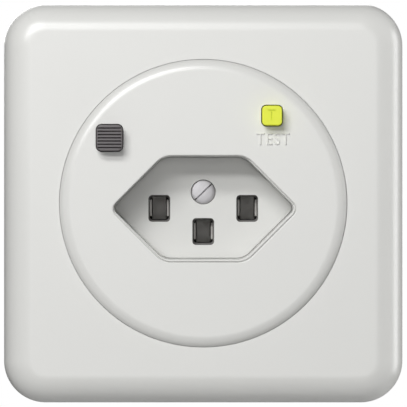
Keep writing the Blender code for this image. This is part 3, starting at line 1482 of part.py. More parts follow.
def make_circuit_board():
    """The board lies on the back of the chassis plate and carries the parts of the test circuit."""
    back = Y_BEHIND + BOARD_THICKNESS
    x0, x1 = around(BOARD_CENTRE_X, BOARD_WIDTH)
    z0, z1 = around(BOARD_CENTRE_Z, BOARD_HEIGHT)
    finish(block("circuit_board", (x0, x1), (Y_BEHIND, back), (z0, z1)), GREEN_BOARD, smooth=False)
    seat = back + SEAT_GAP
    resistor_y = seat + RESISTOR_DIAMETER / 2
    resistor_z = z0 + BOARD_MARGIN + RESISTOR_DIAMETER / 2
    resistor_ends = around(BOARD_CENTRE_X, RESISTOR_LENGTH)
    resistor = rod(
        "test_resistor",
        RESISTOR_DIAMETER,
        (resistor_ends[0], resistor_y, resistor_z),
        (resistor_ends[1], resistor_y, resistor_z),
        sides=16,
    )
    finish(resistor, BEIGE_COATING)
    capacitor = soft_block(
        "board_capacitor",
        (x0 + BOARD_MARGIN, x0 + BOARD_MARGIN + CAPACITOR_WIDTH),
        (seat, seat + CAPACITOR_DEPTH),
        (z1 - BOARD_MARGIN - CAPACITOR_HEIGHT, z1 - BOARD_MARGIN),
        BUTTON_EDGE_RADIUS,
        BUTTON_EDGE_RADIUS,
        corner_steps=2,
        edge_steps=1,
    )
    finish(capacitor, BEIGE_COATING, smooth=False)
    varistor_x = x1 - BOARD_MARGIN - VARISTOR_THICKNESS / 2
    varistor_z = BOARD_CENTRE_Z
    varistor = rod(
        "surge_varistor",
        VARISTOR_DIAMETER,
        (varistor_x - VARISTOR_THICKNESS / 2, seat + VARISTOR_DIAMETER / 2, varistor_z),
        (varistor_x + VARISTOR_THICKNESS / 2, seat + VARISTOR_DIAMETER / 2, varistor_z),
        sides=20,
    )
    finish(varistor, BLUE_COATING)


make_cover_frame()
make_centre_plate()
make_centre_screw()
make_support_frame()
make_front_housing()
make_rear_housing()
make_housing_screws()
make_chassis_plate()
make_reset_button()
make_test_button()
make_test_clip()
make_test_posts()
make_contact_carriage()
make_bridges()
make_fixed_rivets()
make_supply_strips()
make_contacts()
make_earth_strip()
make_latch_lever()
make_latch_pin()
make_springs()
make_terminals()
make_toroid()
make_leads()
make_trip_relay()
make_circuit_board()
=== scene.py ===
import math

import bpy
from mathutils import Matrix, Vector


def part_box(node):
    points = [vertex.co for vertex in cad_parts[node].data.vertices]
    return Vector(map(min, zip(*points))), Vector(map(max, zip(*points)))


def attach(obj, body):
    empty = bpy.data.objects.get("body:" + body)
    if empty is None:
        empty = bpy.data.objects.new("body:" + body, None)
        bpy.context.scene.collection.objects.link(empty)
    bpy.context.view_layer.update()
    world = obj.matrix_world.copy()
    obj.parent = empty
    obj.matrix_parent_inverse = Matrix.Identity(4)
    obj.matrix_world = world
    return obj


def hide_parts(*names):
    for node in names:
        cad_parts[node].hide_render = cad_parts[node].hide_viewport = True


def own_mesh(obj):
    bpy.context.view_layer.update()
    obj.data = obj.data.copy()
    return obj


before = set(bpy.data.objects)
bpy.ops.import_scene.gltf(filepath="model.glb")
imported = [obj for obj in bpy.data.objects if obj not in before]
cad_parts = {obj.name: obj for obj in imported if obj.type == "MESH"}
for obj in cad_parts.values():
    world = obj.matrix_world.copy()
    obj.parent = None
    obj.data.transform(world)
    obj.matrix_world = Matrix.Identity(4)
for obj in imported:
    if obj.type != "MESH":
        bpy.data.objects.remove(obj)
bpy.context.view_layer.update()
bpy.context.scene.view_settings.view_transform = "Standard"


# Camera: straight in front of the cover, far back behind a long lens, so that the sides of the
# cover and of the recess hardly show. It stands a hair to the right of the middle and below it.
MM = 0.001
camera_distance = 4.0
view_width = 87.83 * MM
sharp_plane = -5.0 * MM
view_shift = 0.06 * MM
camera_data = bpy.data.cameras.new("camera")
camera_data.sensor_width = 36.0
camera_data.lens = camera_data.sensor_width * camera_distance / view_width
camera = bpy.data.objects.new("camera", camera_data)
camera.location = (view_shift, sharp_plane - camera_distance, -view_shift)
camera.rotation_euler = (math.radians(90), 0, 0)
bpy.context.scene.collection.objects.link(camera)
bpy.context.scene.camera = camera


# Studio: a pale floor under the hanging outlet, and a surround that is white where the camera sees
# it and dim elsewhere. Two wide lamps hang at the upper left, a soft one shines from the front, one
# stands level with the cover at its right, and one lights the back.
studio_size = 3.0
studio_drop = 0.7
bpy.ops.object.select_all(action="DESELECT")
bpy.ops.mesh.primitive_plane_add(size=studio_size, location=(0, 0, -studio_drop))
studio_floor = bpy.context.object
studio_floor.name = "studio_floor"
floor_paint = bpy.data.materials.new("studio_floor_paint")
floor_paint.use_nodes = True
floor_nodes = floor_paint.node_tree.nodes
floor_nodes["Principled BSDF"].inputs["Base Color"].default_value = (0.8, 0.8, 0.8, 1)
floor_nodes["Principled BSDF"].inputs["Roughness"].default_value = 0.8
studio_floor.data.materials.append(floor_paint)

world = bpy.data.worlds.new("studio_world")
bpy.context.scene.world = world
world.use_nodes = True
world_nodes = world.node_tree.nodes
world_links = world.node_tree.links
world_nodes.clear()


def background(strength):
    """A white surround of this strength."""
    node = world_nodes.new("ShaderNodeBackground")
    node.inputs["Color"].default_value = (1, 1, 1, 1)
    node.inputs["Strength"].default_value = strength
    return node.outputs["Background"]


surround = background(0.08)
mirrored = background(0.1)
seen = background(1.0)
rays = world_nodes.new("ShaderNodeLightPath")
mirror_or_glass = world_nodes.new("ShaderNodeMath")
mirror_or_glass.operation = "MAXIMUM"
by_gloss = world_nodes.new("ShaderNodeMixShader")
by_camera = world_nodes.new("ShaderNodeMixShader")
world_out = world_nodes.new("ShaderNodeOutputWorld")
world_links.new(rays.outputs["Is Glossy Ray"], mirror_or_glass.inputs[0])
world_links.new(rays.outputs["Is Transmission Ray"], mirror_or_glass.inputs[1])
world_links.new(mirror_or_glass.outputs["Value"], by_gloss.inputs["Fac"])
world_links.new(surround, by_gloss.inputs[1])
world_links.new(mirrored, by_gloss.inputs[2])
world_links.new(rays.outputs["Is Camera Ray"], by_camera.inputs["Fac"])
world_links.new(by_gloss.outputs["Shader"], by_camera.inputs[1])
world_links.new(seen, by_camera.inputs[2])
world_links.new(by_camera.outputs["Shader"], world_out.inputs["Surface"])


def lamp(name, place, width, height, power):
    """A rectangular lamp that faces the middle of the cover."""
    data = bpy.data.lights.new(name, "AREA")
    data.shape = "RECTANGLE"
    data.size = width
    data.size_y = height
    data.energy = power
    light = bpy.data.objects.new(name, data)
    light.location = place
    light.rotation_euler = Vector(place).to_track_quat("Z", "Y").to_euler()
    bpy.context.scene.collection.objects.link(light)


lamp("lower_strip_lamp", (-0.17, -0.5, 0.195), 0.34, 0.055, 1.18)
lamp("upper_strip_lamp", (-0.17, -0.5, 0.35), 0.3, 0.08, 1.6)
lamp("front_fill_lamp", (0.0, -2.0, 0.0), 0.85, 0.85, 4.3)
lamp("right_side_lamp", (1.08, 0.15, 0.05), 0.5, 0.9, 6.6)
lamp("back_lamp", (-0.3, 1.4, 0.5), 0.9, 0.9, 9.0)


# Cover frame: one white gloss moulding with a pillow edge all round. It is hollow at the back and
# has a ledge inside its round hole, on which the rim of the centre plate lies.


def only(piece):
    """Selects this piece alone and makes it the active one."""
    bpy.ops.object.select_all(action="DESELECT")
    piece.select_set(True)
    bpy.context.view_layer.objects.active = piece


def settle(piece):
    """Moves place, turn and scale into the mesh, so that the object sits at the origin."""
    only(piece)
    bpy.ops.object.transform_apply(location=True, rotation=True, scale=True)


def cube(name, low, high):
    """A box between two corners."""
    bpy.ops.object.select_all(action="DESELECT")
    middle = (Vector(low) + Vector(high)) / 2
    bpy.ops.mesh.primitive_cube_add(size=1, location=middle)
    piece = bpy.context.object
    piece.name = name
    piece.scale = Vector(high) - Vector(low)
    settle(piece)
    return piece


def cylinder(name, centre, radius, front, back, sides=96):
    """A round bar along Y. The centre is given as (x, z)."""
    bpy.ops.object.select_all(action="DESELECT")
    bpy.ops.mesh.primitive_cylinder_add(
        vertices=sides,
        radius=radius,
        depth=back - front,
        location=(centre[0], (front + back) / 2, centre[1]),
        rotation=(math.radians(90), 0, 0),
    )
    piece = bpy.context.object
    piece.name = name
    settle(piece)
    return piece


def pick_edges(piece, wanted):
    """Enters edit mode with the edges selected whose two ends pass the test."""
    only(piece)
    bpy.ops.object.mode_set(mode="EDIT")
    bpy.ops.mesh.select_mode(type="EDGE")
    bpy.ops.mesh.select_all(action="DESELECT")
    bpy.ops.object.mode_set(mode="OBJECT")
    points = piece.data.vertices
    for edge in piece.data.edges:
        edge.select = wanted(points[edge.vertices[0]].co, points[edge.vertices[1]].co)
    bpy.ops.object.mode_set(mode="EDIT")


def pick_faces(piece, wanted):
    """Enters edit mode with the faces selected whose centre and normal pass the test."""
    only(piece)
    bpy.ops.object.mode_set(mode="EDIT")
    bpy.ops.mesh.select_mode(type="FACE")
    bpy.ops.mesh.select_all(action="DESELECT")
    bpy.ops.object.mode_set(mode="OBJECT")
    for face in piece.data.polygons:
        face.select = wanted(face.center, face.normal)
    bpy.ops.object.mode_set(mode="EDIT")


def round_edges(piece, wanted, radius, segments):
    """Rounds the edges that pass the test."""
    pick_edges(piece, wanted)
    bpy.ops.mesh.bevel(
        offset=radius, offset_type="OFFSET", segments=segments, profile=0.5, affect="EDGES"
    )
    bpy.ops.object.mode_set(mode="OBJECT")


hair = 0.01 * MM
weld = 0.001 * MM


def along_depth(a, b):
    """The edge runs along Y."""
    return abs(a.y - b.y) > hair


def at_depth(y):
    """A test for edges that lie at this Y."""
    return lambda a, b: abs(a.y - y) < weld and abs(b.y - y) < weld


def looks_back(centre, normal):
    """The face looks towards the wall."""
    return normal.y > 0.9


def looks_forward(centre, normal):
    """The face looks away from the wall."""
    return normal.y < -0.9


def combine(piece, other, operation):
    """Cuts the other piece out, or joins it on, and deletes it."""
    only(piece)
    step = piece.modifiers.new("boolean", "BOOLEAN")
    step.operation = operation
    step.solver = "EXACT"
    step.object = other
    bpy.ops.object.modifier_apply(modifier=step.name)
    bpy.data.objects.remove(other, do_unlink=True)


def smooth(piece, angle=35):
    """Shades round stretches smooth and keeps flat faces flat."""
    only(piece)
    bpy.ops.object.shade_smooth_by_angle(angle=math.radians(angle))
    step = piece.modifiers.new("flat faces", "WEIGHTED_NORMAL")
    step.keep_sharp = True
    bpy.ops.object.modifier_apply(modifier=step.name)


cover_low, cover_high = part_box("cover_frame")
cover_corner = 9.0 * MM
cover_pillow = 6.0 * MM
cover_wall = 2.0 * MM
cover_gap = 0.09 * MM
cover_back = 2.0 * MM
hole_depth = 2.5 * MM
ledge_reach = 1.8 * MM
ledge_before = 0.7 * MM
ledge_behind = 1.3 * MM
plate_low, plate_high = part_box("centre_plate")
disc_radius = plate_high.x
cover_hole = disc_radius + cover_gap
ledge_bore = disc_radius - ledge_reach

cover = cube("cover_moulding", cover_low, cover_high)
round_edges(cover, along_depth, cover_corner, 20)
round_edges(cover, at_depth(cover_low.y), cover_pillow, 16)
pick_faces(cover, looks_back)
bpy.ops.mesh.delete(type="FACE")
bpy.ops.object.mode_set(mode="OBJECT")
wall = cover.modifiers.new("wall", "SOLIDIFY")
wall.thickness = cover_wall
wall.offset = -1
bpy.ops.object.modifier_apply(modifier=wall.name)
ledge_front = cover_low.y + cover_wall - ledge_before
ledge_back = cover_low.y + cover_wall + ledge_behind
ledge = cylinder("ledge", (0, 0), cover_hole + cover_wall, ledge_front, ledge_back, 128)
bore = cylinder("bore", (0, 0), ledge_bore, cover_low.y - MM, cover_back, 128)
hole = cylinder("hole", (0, 0), cover_hole, cover_low.y - MM, plate_low.y + hole_depth, 160)
combine(cover, ledge, "UNION")
combine(cover, bore, "DIFFERENCE")
combine(cover, hole, "DIFFERENCE")
smooth(cover)


def new_material(name):
    """An empty Principled material, with the Object coordinates that its patterns read."""
    surface = bpy.data.materials.new(name)
    surface.use_nodes = True
    nodes = surface.node_tree.nodes
    links = surface.node_tree.links
    place = nodes.new("ShaderNodeTexCoord")
    return surface, nodes, links, nodes["Principled BSDF"], place.outputs["Object"]


def moulding_grain_group():
    """The skin of a moulding: a broad unevenness of tone, and a fine height from the mould."""
    group = bpy.data.node_groups.new("moulding_grain", "ShaderNodeTree")
    face = group.interface
    face.new_socket(name="Place", in_out="INPUT", socket_type="NodeSocketVector")
    face.new_socket(name="Grains per metre", in_out="INPUT", socket_type="NodeSocketFloat")
    face.new_socket(name="Tone", in_out="OUTPUT", socket_type="NodeSocketFloat")
    face.new_socket(name="Height", in_out="OUTPUT", socket_type="NodeSocketFloat")
    entry = group.nodes.new("NodeGroupInput")
    leave = group.nodes.new("NodeGroupOutput")
    broad = group.nodes.new("ShaderNodeTexNoise")
    broad.inputs["Scale"].default_value = 45.0
    broad.inputs["Detail"].default_value = 3.0
    fine = group.nodes.new("ShaderNodeTexNoise")
    fine.inputs["Detail"].default_value = 4.0
    group.links.new(entry.outputs["Place"], broad.inputs["Vector"])
    group.links.new(entry.outputs["Place"], fine.inputs["Vector"])
    group.links.new(entry.outputs["Grains per metre"], fine.inputs["Scale"])
    group.links.new(broad.outputs["Fac"], leave.inputs["Tone"])
    group.links.new(fine.outputs["Fac"], leave.inputs["Height"])
    return group


moulding_grain = moulding_grain_group()


def moulded_plastic(name, tone, darker_tone, roughness, grains, relief):
    """A moulded plastic: two close tones, a gloss that varies a little, and a fine grain."""
    surface, nodes, links, shader, place = new_material(name)
    grain = nodes.new("ShaderNodeGroup")
    grain.node_tree = moulding_grain
    grain.inputs["Grains per metre"].default_value = grains
    links.new(place, grain.inputs["Place"])
    tones = nodes.new("ShaderNodeMix")
    tones.data_type = "RGBA"
    tones.inputs["A"].default_value = (*darker_tone, 1)
    tones.inputs["B"].default_value = (*tone, 1)
    links.new(grain.outputs["Tone"], tones.inputs["Factor"])
    links.new(tones.outputs["Result"], shader.inputs["Base Color"])
    gloss = nodes.new("ShaderNodeMapRange")
    gloss.inputs["To Min"].default_value = roughness * 0.85
    gloss.inputs["To Max"].default_value = roughness * 1.15
    links.new(grain.outputs["Tone"], gloss.inputs["Value"])
    links.new(gloss.outputs["Result"], shader.inputs["Roughness"])
    bump = nodes.new("ShaderNodeBump")
    bump.inputs["Strength"].default_value = relief
    bump.inputs["Distance"].default_value = 0.05 * MM
    links.new(grain.outputs["Height"], bump.inputs["Height"])
    links.new(bump.outputs["Normal"], shader.inputs["Normal"])
    return surface


def white_plastic(name):
    """The white plastic of the cover and the centre plate, with a hard gloss."""
    surface = moulded_plastic(name, (0.79, 0.79, 0.765), (0.77, 0.77, 0.745), 0.3, 2600, 0.06)
    surface.node_tree.nodes["Principled BSDF"].inputs["IOR"].default_value = 1.58
    return surface


white_gloss = white_plastic("white_gloss_moulding")


def dress(piece, surface, body, nodes=()):
    """Gives a new piece its finish and its body, and hides the CAD nodes it stands for."""
    piece.data.materials.clear()
    piece.data.materials.append(surface)
    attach(piece, body)
    if nodes:
        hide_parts(*nodes)


dress(cover, white_gloss, "housing", ["cover_frame"])


# Centre plate: a round white disc with an arched rim and the hexagonal plug recess moulded into it
# as a deep cup. A fine groove runs round the foot of the recess and below its rounded mouth. The
# floor is cut for pins and screw, and the disc for the buttons.
disc_front = plate_low.y
disc_wall = 2.2 * MM
disc_back = disc_front + disc_wall
rim_sag = 1.2 * MM
rim_arc = 3.0 * MM
rim_rings = 10
cup_front = disc_front + 0.7 * MM
cup_back = plate_high.y
floor_depth = disc_front + 12.0 * MM
recess_z = -1.0 * MM
recess_half_width = 20.05 * MM
recess_half_height = 11.2 * MM
recess_shift = (0.1 * MM, 0, 0)
recess_draft = 0.2 * MM
recess_rim = 0.25 * MM
recess_rim_steps = 6
mouth_step = 0.3 * MM
mouth_depth = 0.95 * MM
mouth_shift = (0.28 * MM, 0, -0.22 * MM)
groove_width = 0.22 * MM
groove_depth = 0.4 * MM
recess_corner = 3.8 * MM
recess_tip = 1.6 * MM
cup_wall = 1.6 * MM


def draw_out(move, scale=None, about=(0, 0, 0)):
    """Extrudes the picked faces and may resize their new end about a point."""
    bpy.ops.mesh.extrude_region_move(TRANSFORM_OT_translate={"value": move})
    if scale:
        bpy.ops.transform.resize(value=scale, center_override=about)


def front_face(x, z):
    """A test for the face that looks forward and is centred on this line along Y."""

    def test(centre, normal):
        return normal.y < -0.9 and abs(centre.x - x) < hair and abs(centre.z - z) < hair

    return test


def hexagon_bar(name, grow, front, back, taper):
    """A hexagonal bar with 45 degree flanks and round corners that narrows towards its back."""
    half_height = recess_half_height + grow
    half_width = recess_half_width + grow * math.sqrt(2)
    shoulder = half_width - half_height
    low = (-shoulder, front, recess_z - half_height)
    high = (shoulder, back, recess_z + half_height)
    bar = cube(name, low, high)
    for side in (-1, 1):
        pick_faces(bar, lambda centre, normal: normal.x * side > 0.9)
        draw_out((side * half_height, 0, 0), (1, 1, 0), (0, 0, recess_z))
        bpy.ops.mesh.select_all(action="SELECT")
        bpy.ops.mesh.remove_doubles(threshold=weld)
        bpy.ops.object.mode_set(mode="OBJECT")

    def tip(a, b):
        return along_depth(a, b) and abs(a.x) > shoulder + MM

    def corner(a, b):
        return along_depth(a, b) and abs(a.x) < shoulder + MM

    round_edges(bar, tip, recess_tip + grow, 8)
    round_edges(bar, corner, (recess_corner + grow) * math.tan(math.radians(22.5)), 8)
    pick_faces(bar, looks_back)
    shrink = (1 - taper * math.sqrt(2) / half_width, 1, 1 - taper / half_height)
    bpy.ops.transform.resize(value=shrink, center_override=(0, back, recess_z))
    bpy.ops.object.mode_set(mode="OBJECT")
    return bar


def depth_bar(name, x, z, width, height, front, back, corner, segments=6):
    """A bar along Y with round corners, for holes, windows and buttons."""
    low = (x - width / 2, front, z - height / 2)
    high = (x + width / 2, back, z + height / 2)
    bar = cube(name, low, high)
    round_edges(bar, along_depth, corner, segments)
    return bar


plate = cylinder("centre_moulding", (0, 0), disc_radius, disc_front + rim_sag, disc_back, 192)
rim_lean = math.acos(1 - rim_sag / rim_arc)
reach = disc_radius
depth = disc_front + rim_sag
for i in range(1, rim_rings + 1):
    lean = rim_lean * (1 - i / rim_rings)
    next_reach = disc_radius - rim_arc * (math.sin(rim_lean) - math.sin(lean))
    next_depth = disc_front + rim_arc * (1 - math.cos(lean))
    shrink = next_reach / reach
    pick_faces(plate, front_face(0, 0))
    draw_out((0, next_depth - depth, 0), (shrink, 1, shrink))
    bpy.ops.object.mode_set(mode="OBJECT")
    reach = next_reach
    depth = next_depth
cup = hexagon_bar("cup", cup_wall, cup_front, cup_back, recess_draft)
combine(plate, cup, "UNION")


def groove_round(bar):
    """Sinks the middle of the bar's back face and leaves a ring round it, which cuts a groove."""
    pick_faces(bar, looks_back)
    bpy.ops.mesh.inset(thickness=groove_width)
    draw_out((0, -groove_depth, 0))
    bpy.ops.object.mode_set(mode="OBJECT")


recess = hexagon_bar("recess", 0.0, disc_front - MM, floor_depth + groove_depth, recess_draft)
groove_round(recess)
recess.location = recess_shift
settle(recess)
combine(plate, recess, "DIFFERENCE")

mouth = hexagon_bar("mouth", mouth_step, disc_front + recess_rim, disc_front + mouth_depth, 0.0)
groove_round(mouth)
grown = 0.0
risen = 0.0
for i in range(1, recess_rim_steps + 1):
    angle = math.radians(90 * i / recess_rim_steps)
    wide = recess_half_width + (mouth_step + grown) * math.sqrt(2)
    tall = recess_half_height + mouth_step + grown
    more = recess_rim * (1 - math.cos(angle)) - grown
    step_out = recess_rim * math.sin(angle) - risen
    growth = (1 + more * math.sqrt(2) / wide, 1, 1 + more / tall)
    pick_faces(mouth, looks_forward)
    draw_out((0, -step_out, 0), growth, (0, 0, recess_z))
    bpy.ops.object.mode_set(mode="OBJECT")
    grown += more
    risen += step_out
pick_faces(mouth, looks_forward)
draw_out((0, -MM, 0))
bpy.ops.object.mode_set(mode="OBJECT")
mouth.location = mouth_shift
settle(mouth)
combine(plate, mouth, "DIFFERENCE")

pin_spacing = 19.0 * MM
earth_drop = 5.0 * MM
pin_hole_width = 4.7 * MM
pin_hole_height = 5.8 * MM
pin_hole_corner = 0.8 * MM
pin_hole_drop = 0.12 * MM
pin_places = (
    (-pin_spacing / 2, recess_z),
    (pin_spacing / 2, recess_z),
    (0.0, recess_z - earth_drop),
)
for x, z in pin_places:
    z -= pin_hole_drop
    size = (pin_hole_width, pin_hole_height)
    hole = depth_bar("pin_hole", x, z, *size, floor_depth - MM, cup_back + MM, pin_hole_corner)
    combine(plate, hole, "DIFFERENCE")

screw_z = 2.43 * MM
screw_radius = 2.55 * MM
screw_bore = 1.8 * MM
seat_gap = 0.15 * MM
seat_depth = 1.6 * MM
bpy.ops.object.select_all(action="DESELECT")
bpy.ops.mesh.primitive_cone_add(
    vertices=64,
    radius1=screw_radius + seat_gap,
    radius2=screw_bore,
    depth=seat_depth,
    location=(0, floor_depth + seat_depth / 2, screw_z),
    rotation=(math.radians(-90), 0, 0),
)
seat = bpy.context.object
settle(seat)
pick_faces(seat, looks_forward)
draw_out((0, -MM, 0))
bpy.ops.object.mode_set(mode="OBJECT")
combine(plate, seat, "DIFFERENCE")
bore = cylinder("bore", (0, screw_z), screw_bore, floor_depth, cup_back + MM, 48)
combine(plate, bore, "DIFFERENCE")

reset_x = -20.2 * MM
reset_z = 14.08 * MM
reset_width = 5.6 * MM
reset_height = 5.66 * MM
reset_corner = 1.1 * MM
test_x = 14.83 * MM
test_z = 18.88 * MM
test_width = 4.3 * MM
test_corner = 0.9 * MM
window_gap = 0.2 * MM
for x, z, width, height, corner in (
    (reset_x, reset_z, reset_width, reset_height, reset_corner),
    (test_x, test_z, test_width, test_width, test_corner),
):
    size = (width + 2 * window_gap, height + 2 * window_gap)
    corner += window_gap
    window = depth_bar("window", x, z, *size, disc_front - MM, disc_back + MM, corner)
    combine(plate, window, "DIFFERENCE")
smooth(plate)

# Painted shade: the white of the centre plate is multiplied by 0.88 from 0.4 mm behind the disc's
# front, fully from 1.2 mm on, so that the walls and floor of the recess come out darker than the
# lamps make them.
painted_shade_starts = disc_front + 0.4 * MM
painted_shade_full = disc_front + 1.2 * MM
painted_recess_shade = 0.88
white_with_painted_recess_shade = white_plastic("white_moulding_with_painted_recess_shade")
recess_nodes = white_with_painted_recess_shade.node_tree.nodes
recess_links = white_with_painted_recess_shade.node_tree.links
plate_place = recess_nodes.new("ShaderNodeSeparateXYZ")
recess_links.new(recess_nodes["Texture Coordinate"].outputs["Object"], plate_place.inputs["Vector"])
painted_shade_ramp = recess_nodes.new("ShaderNodeMapRange")
painted_shade_ramp.inputs["From Min"].default_value = painted_shade_starts
painted_shade_ramp.inputs["From Max"].default_value = painted_shade_full
recess_links.new(plate_place.outputs["Y"], painted_shade_ramp.inputs["Value"])
painted_shade_multiply = recess_nodes.new("ShaderNodeMix")
painted_shade_multiply.data_type = "RGBA"
painted_shade_multiply.blend_type = "MULTIPLY"
painted_shade_multiply.inputs["B"].default_value = (painted_recess_shade, painted_recess_shade, painted_recess_shade, 1)
recess_links.new(painted_shade_ramp.outputs["Result"], painted_shade_multiply.inputs["Factor"])
recess_links.new(recess_nodes["Mix"].outputs["Result"], painted_shade_multiply.inputs["A"])
recess_links.new(painted_shade_multiply.outputs["Result"], recess_nodes["Principled BSDF"].inputs["Base Color"])
dress(plate, white_with_painted_recess_shade, "housing", ["centre_plate"])


# Marking of the test button: the plain word for what it does, raised a little from the disc and
# moulded in the same white plastic.
bpy.ops.object.select_all(action="DESELECT")
bpy.ops.object.text_add()
marking = bpy.context.object
marking.name = "test_marking"
marking.data.body = "TEST"
marking.data.align_x = "CENTER"
marking.data.align_y = "CENTER"
marking.data.size = 1.0
marking.data.extrude = 0.01
marking.data.bevel_depth = 0.024
marking.data.bevel_resolution = 1
marking.data.offset = -0.022
marking.data.space_character = 1.15
marking.data.resolution_u = 4
bpy.ops.object.convert(target="MESH")
marking = bpy.context.object
marking_x = 15.05 * MM
marking_z = 13.7 * MM
marking_width = 7.2 * MM
marking_height = 2.62 * MM
marking_rise = 0.3 * MM
word = marking.dimensions
fit = (marking_width / word.x, marking_height / word.y, 2 * marking_rise / word.z, 1)
marking.data.transform(Matrix.Diagonal(fit))
marking.rotation_euler = (math.radians(90), 0, 0)
marking.location = (marking_x, disc_front, marking_z)
settle(marking)
bpy.ops.object.mode_set(mode="EDIT")
bpy.ops.mesh.select_all(action="SELECT")
bpy.ops.mesh.remove_doubles(threshold=weld)
bpy.ops.object.mode_set(mode="OBJECT")
bpy.ops.object.shade_smooth_by_angle(angle=math.radians(35))
dress(marking, white_gloss, "housing")


# Centre screw: a plated steel countersunk screw with a slightly domed, slotted head. It holds the
# centre plate, and with it the cover frame, to the housing.
screw_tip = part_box("centre_screw")[1].y
head_back = floor_depth + 1.3 * MM
shank_share = 0.59
screw_dome = 0.35 * MM
dome_steps = 8
dome_last = 88
slot_half = 0.15 * MM
slot_reach = 4.0 * MM
slot_front = floor_depth - 2.0 * MM
slot_floor = floor_depth + 0.8 * MM
slot_turn = -43.5
screw = cylinder("centre_screw_turned", (0, screw_z), screw_radius, floor_depth, head_back, 64)
pick_faces(screw, looks_back)
bpy.ops.transform.resize(value=(shank_share, 1, shank_share), center_override=(0, 0, screw_z))
draw_out((0, screw_tip - head_back, 0))
bpy.ops.object.mode_set(mode="OBJECT")
for i in range(dome_steps):
    before = math.radians(90 * i / dome_steps)
    after = math.radians(90 * (i + 1) / dome_steps if i < dome_steps - 1 else dome_last)
    grow = math.cos(after) / math.cos(before)
    rise = screw_dome * (math.sin(after) - math.sin(before))
    pick_faces(screw, front_face(0, screw_z))
    draw_out((0, -rise, 0), (grow, 1, grow), (0, 0, screw_z))
    bpy.ops.object.mode_set(mode="OBJECT")
slot = cube("slot", (-slot_reach, slot_front, -slot_half), (slot_reach, slot_floor, slot_half))
slot.rotation_euler.y = math.radians(slot_turn)
slot.location.z = screw_z
settle(slot)
combine(screw, slot, "DIFFERENCE")
smooth(screw, 25)


def plated_metal(name, tone, shade, roughness, stretch):
    """A metal with drawn or turned marks: fine noise pulled out along one direction."""
    surface, nodes, links, shader, place = new_material(name)
    shader.inputs["Metallic"].default_value = 1.0
    pull = nodes.new("ShaderNodeMapping")
    pull.inputs["Scale"].default_value = stretch
    links.new(place, pull.inputs["Vector"])
    marks = nodes.new("ShaderNodeTexNoise")
    marks.inputs["Scale"].default_value = 1.0
    marks.inputs["Detail"].default_value = 5.0
    links.new(pull.outputs["Vector"], marks.inputs["Vector"])
    tones = nodes.new("ShaderNodeMix")
    tones.data_type = "RGBA"
    tones.inputs["A"].default_value = (*shade, 1)
    tones.inputs["B"].default_value = (*tone, 1)
    links.new(marks.outputs["Fac"], tones.inputs["Factor"])
    links.new(tones.outputs["Result"], shader.inputs["Base Color"])
    gloss = nodes.new("ShaderNodeMapRange")
    gloss.inputs["To Min"].default_value = roughness * 0.7
    gloss.inputs["To Max"].default_value = roughness * 1.3
    links.new(marks.outputs["Fac"], gloss.inputs["Value"])
    links.new(gloss.outputs["Result"], shader.inputs["Roughness"])
    bump = nodes.new("ShaderNodeBump")
    bump.inputs["Strength"].default_value = 0.1
    bump.inputs["Distance"].default_value = 0.01 * MM
    links.new(marks.outputs["Fac"], bump.inputs["Height"])
    links.new(bump.outputs["Normal"], shader.inputs["Normal"])
    return surface


bright_steel = plated_metal(
    "bright_plated_steel", (0.66, 0.65, 0.665), (0.58, 0.57, 0.585), 0.57, (700, 700, 700)
)
dress(screw, bright_steel, "housing", ["centre_screw"])


# Reset button: dark plastic with round-topped cross ribs that stop just short of its sides. It is
# moulded in one with the stem and flange behind the disc.
button_low, button_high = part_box("reset_button")
reset_front = button_low.y
reset_edge = 0.3 * MM
rib_pitch = 0.7 * MM
groove_count = 7
groove_half = 0.17 * MM
rib_height = 0.6 * MM
rib_margin = 0.5 * MM
reset_cap_back = 1.0 * MM
reset_flange_front = 0.3 * MM
reset_flange_back = 1.5 * MM
reset_stem_width = 4.0 * MM
reset_stem_corner = 0.3 * MM
reset = depth_bar(
    "reset_cap",
    reset_x,
    reset_z,
    reset_width,
    reset_height,
    reset_front,
    reset_cap_back,
    reset_corner,
    8,
)
round_edges(reset, at_depth(reset_front), reset_edge, 5)
for i in range(groove_count):
    z = reset_z + rib_pitch * ((groove_count - 1) / 2 - i)
    bpy.ops.object.select_all(action="DESELECT")
    bpy.ops.mesh.primitive_cylinder_add(
        vertices=16,
        radius=groove_half,
        depth=reset_width - rib_margin,
        location=(reset_x, reset_front, z),
        rotation=(0, math.radians(90), 0),
    )
    groove = bpy.context.object
    groove.scale = (1, rib_height / groove_half, 1)
    settle(groove)
    combine(reset, groove, "DIFFERENCE")
flange = cube(
    "flange",
    (button_low.x, reset_flange_front, button_low.z),
    (button_high.x, reset_flange_back, button_high.z),
)
combine(reset, flange, "UNION")
stem = depth_bar(
    "stem",
    reset_x,
    reset_z,
    reset_stem_width,
    reset_stem_width,
    reset_cap_back,
    button_high.y,
    reset_stem_corner,
    3,
)
combine(reset, stem, "UNION")
smooth(reset)
dark_button = moulded_plastic(
    "dark_button_plastic", (0.16, 0.148, 0.15), (0.135, 0.123, 0.127), 0.5, 3500, 0.12
)
dress(reset, dark_button, "reset_system", ["reset_button"])


